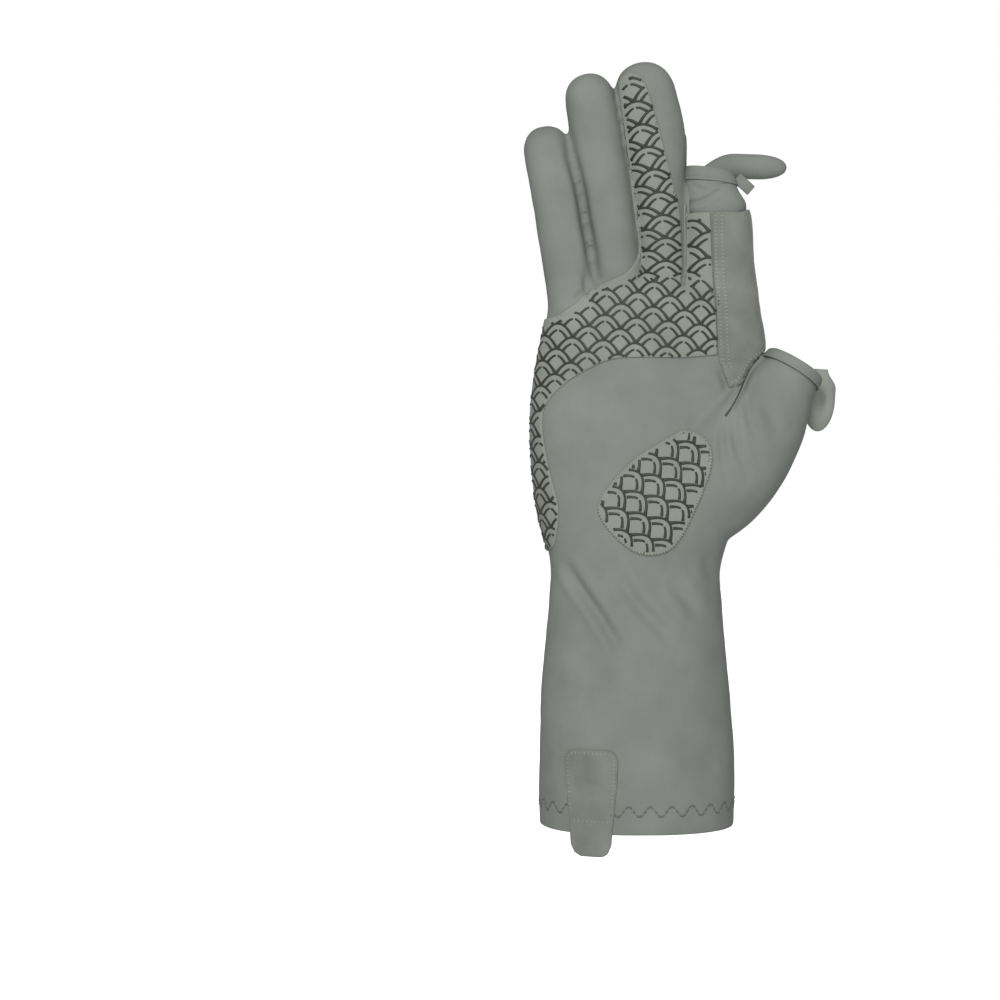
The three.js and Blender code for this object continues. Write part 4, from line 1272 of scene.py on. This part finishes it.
def noise(group, place, scale, detail):
    made = add_node(group, "ShaderNodeTexNoise", {"Vector": place, "Scale": scale, "Detail": detail})
    return made.outputs["Fac"]


def knit_group():
    """Wales and courses of a knit, read from the side that a surface faces, and a mask of uneven dye."""
    group, given, result = effect_group("knit_loops", [("Wale", 0.7), ("Course", 0.6)], ["Height", "Uneven"])
    place = group.nodes.new("ShaderNodeTexCoord").outputs["Object"]
    split = add_node(group, "ShaderNodeSeparateXYZ", {"Vector": place})
    normal = group.nodes.new("ShaderNodeNewGeometry").outputs["True Normal"]
    facing = add_node(group, "ShaderNodeSeparateXYZ", {"Vector": normal})
    sideways = maths(group, "GREATER_THAN", maths(group, "ABSOLUTE", facing.outputs["X"]), 0.72)
    over = maths(group, "ADD", maths(group, "MULTIPLY", split.outputs["Y"], sideways),
                 maths(group, "MULTIPLY", split.outputs["X"], maths(group, "SUBTRACT", 1, sideways)))
    wale = maths(group, "DIVIDE", maths(group, "MULTIPLY", over, 1 / MM), given.outputs["Wale"])
    up = maths(group, "MULTIPLY", split.outputs["Z"], 1 / MM)
    rows = maths(group, "DIVIDE", up, given.outputs["Course"])
    bow = maths(group, "ABSOLUTE", maths(group, "SUBTRACT", maths(group, "FRACT", wale), 0.5))
    loops = maths(group, "SINE", maths(group, "MULTIPLY", maths(group, "ADD", rows, bow), 2 * math.pi))
    ribs = maths(group, "SINE", maths(group, "MULTIPLY", bow, math.pi))
    height = maths(group, "ADD", maths(group, "MULTIPLY", loops, 0.3), maths(group, "MULTIPLY", ribs, -0.7))
    group.links.new(height, result.inputs["Height"])
    group.links.new(noise(group, place, 60, 4), result.inputs["Uneven"])
    return group


def nap_group():
    """The short, brushed fibre of suede: fine grain, and broad patches where the nap lies another way."""
    sizes = [("Grain", 2600), ("Patch", 90)]
    group, given, result = effect_group("brushed_nap", sizes, ["Height", "Patches"])
    place = group.nodes.new("ShaderNodeTexCoord").outputs["Object"]
    group.links.new(noise(group, place, given.outputs["Grain"], 4), result.inputs["Height"])
    group.links.new(noise(group, place, given.outputs["Patch"], 5), result.inputs["Patches"])
    return group


KNIT_LOOPS, BRUSHED_NAP = knit_group(), nap_group()


def srgb(*values):
    """A colour as it is seen, from 0 to 255, in the shader's own linear values."""
    shares = [value / 255 for value in values]
    return [share / 12.92 if share <= 0.04045 else ((share + 0.055) / 1.055) ** 2.4 for share in shares] + [1]


def cloth(name, dark, light, roughness, group, height, mask, bump, sheen=0.0, **inputs):
    """A cloth whose colour goes from dark to light with a mask, and whose bump is a group's height."""
    material = bpy.data.materials.new(name)
    material.use_nodes = True
    tree = material.node_tree
    shader = tree.nodes["Principled BSDF"]
    effect = add_node(tree, "ShaderNodeGroup", inputs, node_tree=group)
    ramp = tree.nodes.new("ShaderNodeValToRGB")
    for element, at, colour in zip(ramp.color_ramp.elements, (0.3, 0.7), (dark, light)):
        element.position = at
        element.color = srgb(*colour)
    tree.links.new(effect.outputs[mask], ramp.inputs["Fac"])
    first_colour, second_colour, mixed_colour = 6, 7, 2
    grain = add_node(tree, "ShaderNodeMix", {
        "Factor": 0.06,
        first_colour: ramp.outputs["Color"],
        second_colour: effect.outputs[height],
    }, data_type="RGBA", blend_type="MULTIPLY")
    tree.links.new(grain.outputs[mixed_colour], shader.inputs["Base Color"])
    relief = add_node(tree, "ShaderNodeBump", {
        "Strength": bump,
        "Distance": 0.12 * MM,
        "Height": effect.outputs[height],
    })
    tree.links.new(relief.outputs["Normal"], shader.inputs["Normal"])
    shader.inputs["Roughness"].default_value = roughness
    shader.inputs["Specular IOR Level"].default_value = 0.3
    if sheen:
        shader.inputs["Sheen Weight"].default_value = sheen
        shader.inputs["Sheen Roughness"].default_value = 0.4
    return material


KNIT, NAP = (KNIT_LOOPS, "Height", "Uneven"), (BRUSHED_NAP, "Height", "Patches")
STRETCH_KNIT = cloth("stretch_knit", (126, 131, 125), (137, 142, 136), 0.78, *KNIT, 0.2)
GRIP_CLOTH = cloth("grip_cloth", (137, 142, 133), (148, 153, 144), 0.75, *KNIT, 0.3, Wale=0.6, Course=0.5)
PRINT_RUBBER = cloth("print_rubber", (50, 53, 45), (62, 65, 56), 0.46, *NAP, 0.3, Grain=1500)
SUEDE = cloth("suede", (115, 120, 112), (134, 139, 130), 0.95, *NAP, 0.9, 0.25)
PALE_SUEDE = cloth("pale_suede", (144, 150, 140), (157, 162, 152), 0.95, *NAP, 0.9)
DARK_THREAD = cloth("dark_thread", (98, 103, 96), (108, 113, 105), 0.7, *NAP, 0.5)
# painted shade: this dark material colours the strip along the thumb seam, standing in for the shade in the
# fold there
SEAM_CREASE_SHADE = cloth("seam_crease_shade", (66, 70, 63), (80, 84, 77), 0.7, *NAP, 0.5)
PALE_THREAD = cloth("pale_thread", (141, 147, 137), (154, 160, 149), 0.7, *NAP, 0.5)


# The pieces in their places
def placed(piece, slot, *nodes):
    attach(piece, "root")
    if nodes:
        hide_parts(*nodes)


body_points, body_faces = body_sheet()
for name, side, end in (("palm_panel", -1, "front"), ("back_panel", 1, "back")):
    piece = make_object(name + "_skin", *panel(body_points, body_faces, side), STRETCH_KNIT)
    placed(piece, "stretch_fabric", name, *(f"{finger}_finger_{end}" for finger in FINGERS))
for name, node, column, material, slot in (
    ("palm_grip_fabric", "palm_grip", GRIP, GRIP_CLOTH, "printed_grip"),
    ("heel_grip_fabric", "heel_grip", HEEL, GRIP_CLOTH, "printed_grip"),
    ("index_gusset_suede", "index_gusset", GUSSET, SUEDE, "suede"),
    ("pull_tab_suede", "pull_tab", TAB, SUEDE, "suede"),
):
    placed(make_object(name, *patch(body_points, body_faces, column), material), slot, node)
for name, node, wall, material, slot in (
    ("index_sleeve_knit", "index_sleeve", index_sleeve_wall, STRETCH_KNIT, "stretch_fabric"),
    ("index_hem_fold", "index_hem", index_hem_wall, STRETCH_KNIT, "stretch_fabric"),
    ("index_cap_pouch", "index_cap", index_cap_pouch, STRETCH_KNIT, "stretch_fabric"),
    ("index_tab_strap", "index_tab", index_tab_strap, SUEDE, "suede"),
    ("thumb_hem_fold", "thumb_hem", thumb_hem_wall, STRETCH_KNIT, "stretch_fabric"),
    ("thumb_cap_pouch", "thumb_cap", thumb_cap_pouch, PALE_SUEDE, "suede"),
    ("cuff_hem_fold", "cuff_hem", cuff_hem_wall, STRETCH_KNIT, "stretch_fabric"),
):
    placed(make_object(name, *wall(), material), slot, node)

BODY = Skin(body_points, body_faces)
placed(make_object("scale_print_palm", *palm_print(BODY.tree), PRINT_RUBBER), "printed_grip")
placed(make_object("scale_print_heel", *heel_print(BODY.tree), PRINT_RUBBER), "printed_grip")


def thumb_seam_shade_ribbon():
    """A strip along the seam between the palm and the thumb, which thickens at its lower end; its dark colour
    is painted shade of the fold along that seam.
    """
    path = smooth_path(THUMB_SEAM)
    width = 0.3 + 0.2 * rise(np.linspace(0, 1, len(path)), 0.8, 0.95)
    chart = front_chart(BODY.tree, np.arange(28, 54, 0.75), np.arange(150, 184, 0.75))
    return ribbon(chart, path, width, -0.12)


def gusset_stitches():
    """Two rows down the gusset's long edge, and one round the fork."""
    rows = []
    edge = GUSSET_EDGE[:-1]
    for line, shift in ((edge, (1.6, 0)), (edge, (4, 0)), (GUSSET_FORK, (-1.6, 1.6))):
        flat, directions = evenly(smooth_path(palm_place(line)) + shift, 1.45)
        kept = flat[:, 1] < INDEX_END[2] - MOUTH_DEPTH - 0.8
        rows.append(row_on(BODY, flat[kept], turned(directions[kept], 90), 0.86))
    return rows


def pull_tab_stitches():
    """A row round the part of the pull tab that is sewn down, closed by a row across it."""
    row_height, row_half = 4.8, 6.6
    sewn_part = TAB_OUTLINE[TAB_OUTLINE[:, 1] > row_height]
    round_it = edge_stitches(BODY, np.roll(sewn_part, 2, axis=0), 1.5, 1.4, 90, 0.86, False)
    row = [(TAB_CENTRE - row_half, row_height), (TAB_CENTRE + row_half, row_height)]
    flat, directions = evenly(row, 1.5)
    return [round_it, row_on(BODY, flat, turned(directions, 90), 0.86)]


# the strip along the thumb seam, dark with painted shade of its fold
placed(make_object("thumb_seam_painted_shade", *thumb_seam_shade_ribbon(), SEAM_CREASE_SHADE), "stretch_fabric")
heel_edge = edge_stitches(BODY, HEEL_OUTLINE, 1.15, 0.55, 80, 0.8)
for name, rows, thread, length, width, height, slot in (
    ("heel_edge_stitches", [heel_edge], PALE_THREAD, 1.5, 0.62, 0.5, "printed_grip"),
    ("gusset_stitches", gusset_stitches(), PALE_THREAD, 1.5, 0.6, 0.34, "suede"),
    ("pull_tab_stitches", pull_tab_stitches(), PALE_THREAD, 1.3, 0.45, 0.3, "suede"),
    ("cuff_zigzag_stitches", [cuff_zigzag(BODY)], DARK_THREAD, 1.8, 0.8, 0.3, "stretch_fabric"),
):
    placed(sewn(name, rows, thread, Length=length, Width=width, Height=height), slot)


# The studio: a pale floor well below, a white sky, one large soft lamp, and the camera
SKY_LIGHT = 0.34
FLOOR_SIZE, FLOOR_HEIGHT = 12000, -160
LAMP_PLACE, LAMP_AIM = Vector((-200, -1200, 750)), Vector((0, 0, 140))
LAMP_SIZE, LAMP_POWER = 800, 13.5


def seen_only(tree):
    """1 where the camera looks straight at a thing, 0 for its light on others."""
    return tree.nodes.new("ShaderNodeLightPath").outputs["Is Camera Ray"]


def white_sky(scene):
    world = bpy.data.worlds.new("studio")
    world.use_nodes = True
    scene.world = world
    tree = world.node_tree
    sky = tree.nodes["Background"]
    sky.inputs["Color"].default_value = (1, 1, 1, 1)
    strength = maths(tree, "ADD", maths(tree, "MULTIPLY", seen_only(tree), 1 - SKY_LIGHT), SKY_LIGHT)
    tree.links.new(strength, sky.inputs["Strength"])


def pale_floor():
    paint = bpy.data.materials.new("pale_floor")
    paint.use_nodes = True
    shader = paint.node_tree.nodes["Principled BSDF"]
    shader.inputs["Base Color"].default_value = (0.9, 0.9, 0.9, 1)
    shader.inputs["Roughness"].default_value = 0.9
    shader.inputs["Emission Color"].default_value = (1, 1, 1, 1)
    paint.node_tree.links.new(seen_only(paint.node_tree), shader.inputs["Emission Strength"])
    corners = np.array([(-1, -1), (1, -1), (1, 1), (-1, 1)]) * FLOOR_SIZE / 2
    points = np.column_stack([corners, np.full(4, FLOOR_HEIGHT)])
    make_object("floor", points, np.array([[0, 1, 2], [0, 2, 3]]), paint, False)


def studio():
    scene = bpy.context.scene
    scene.view_settings.view_transform = "Standard"
    camera = new_object("camera", bpy.data.cameras.new("camera"))
    scene.camera = camera
    camera.location = (CAMERA_X * MM, -CAMERA_DISTANCE * MM, CAMERA_HEIGHT * MM)
    camera.rotation_euler = (math.pi / 2, 0, 0)
    camera.data.sensor_width = SENSOR
    camera.data.lens = SENSOR * CAMERA_DISTANCE / FRAME_WIDTH
    camera.data.clip_start = 0.01
    white_sky(scene)
    pale_floor()
    lamp = new_object("key", bpy.data.lights.new("key", "AREA"))
    lamp.data.size = LAMP_SIZE * MM
    lamp.data.energy = LAMP_POWER
    lamp.location = LAMP_PLACE * MM
    lamp.rotation_euler = (LAMP_AIM - LAMP_PLACE).to_track_quat("-Z", "Y").to_euler()


studio()
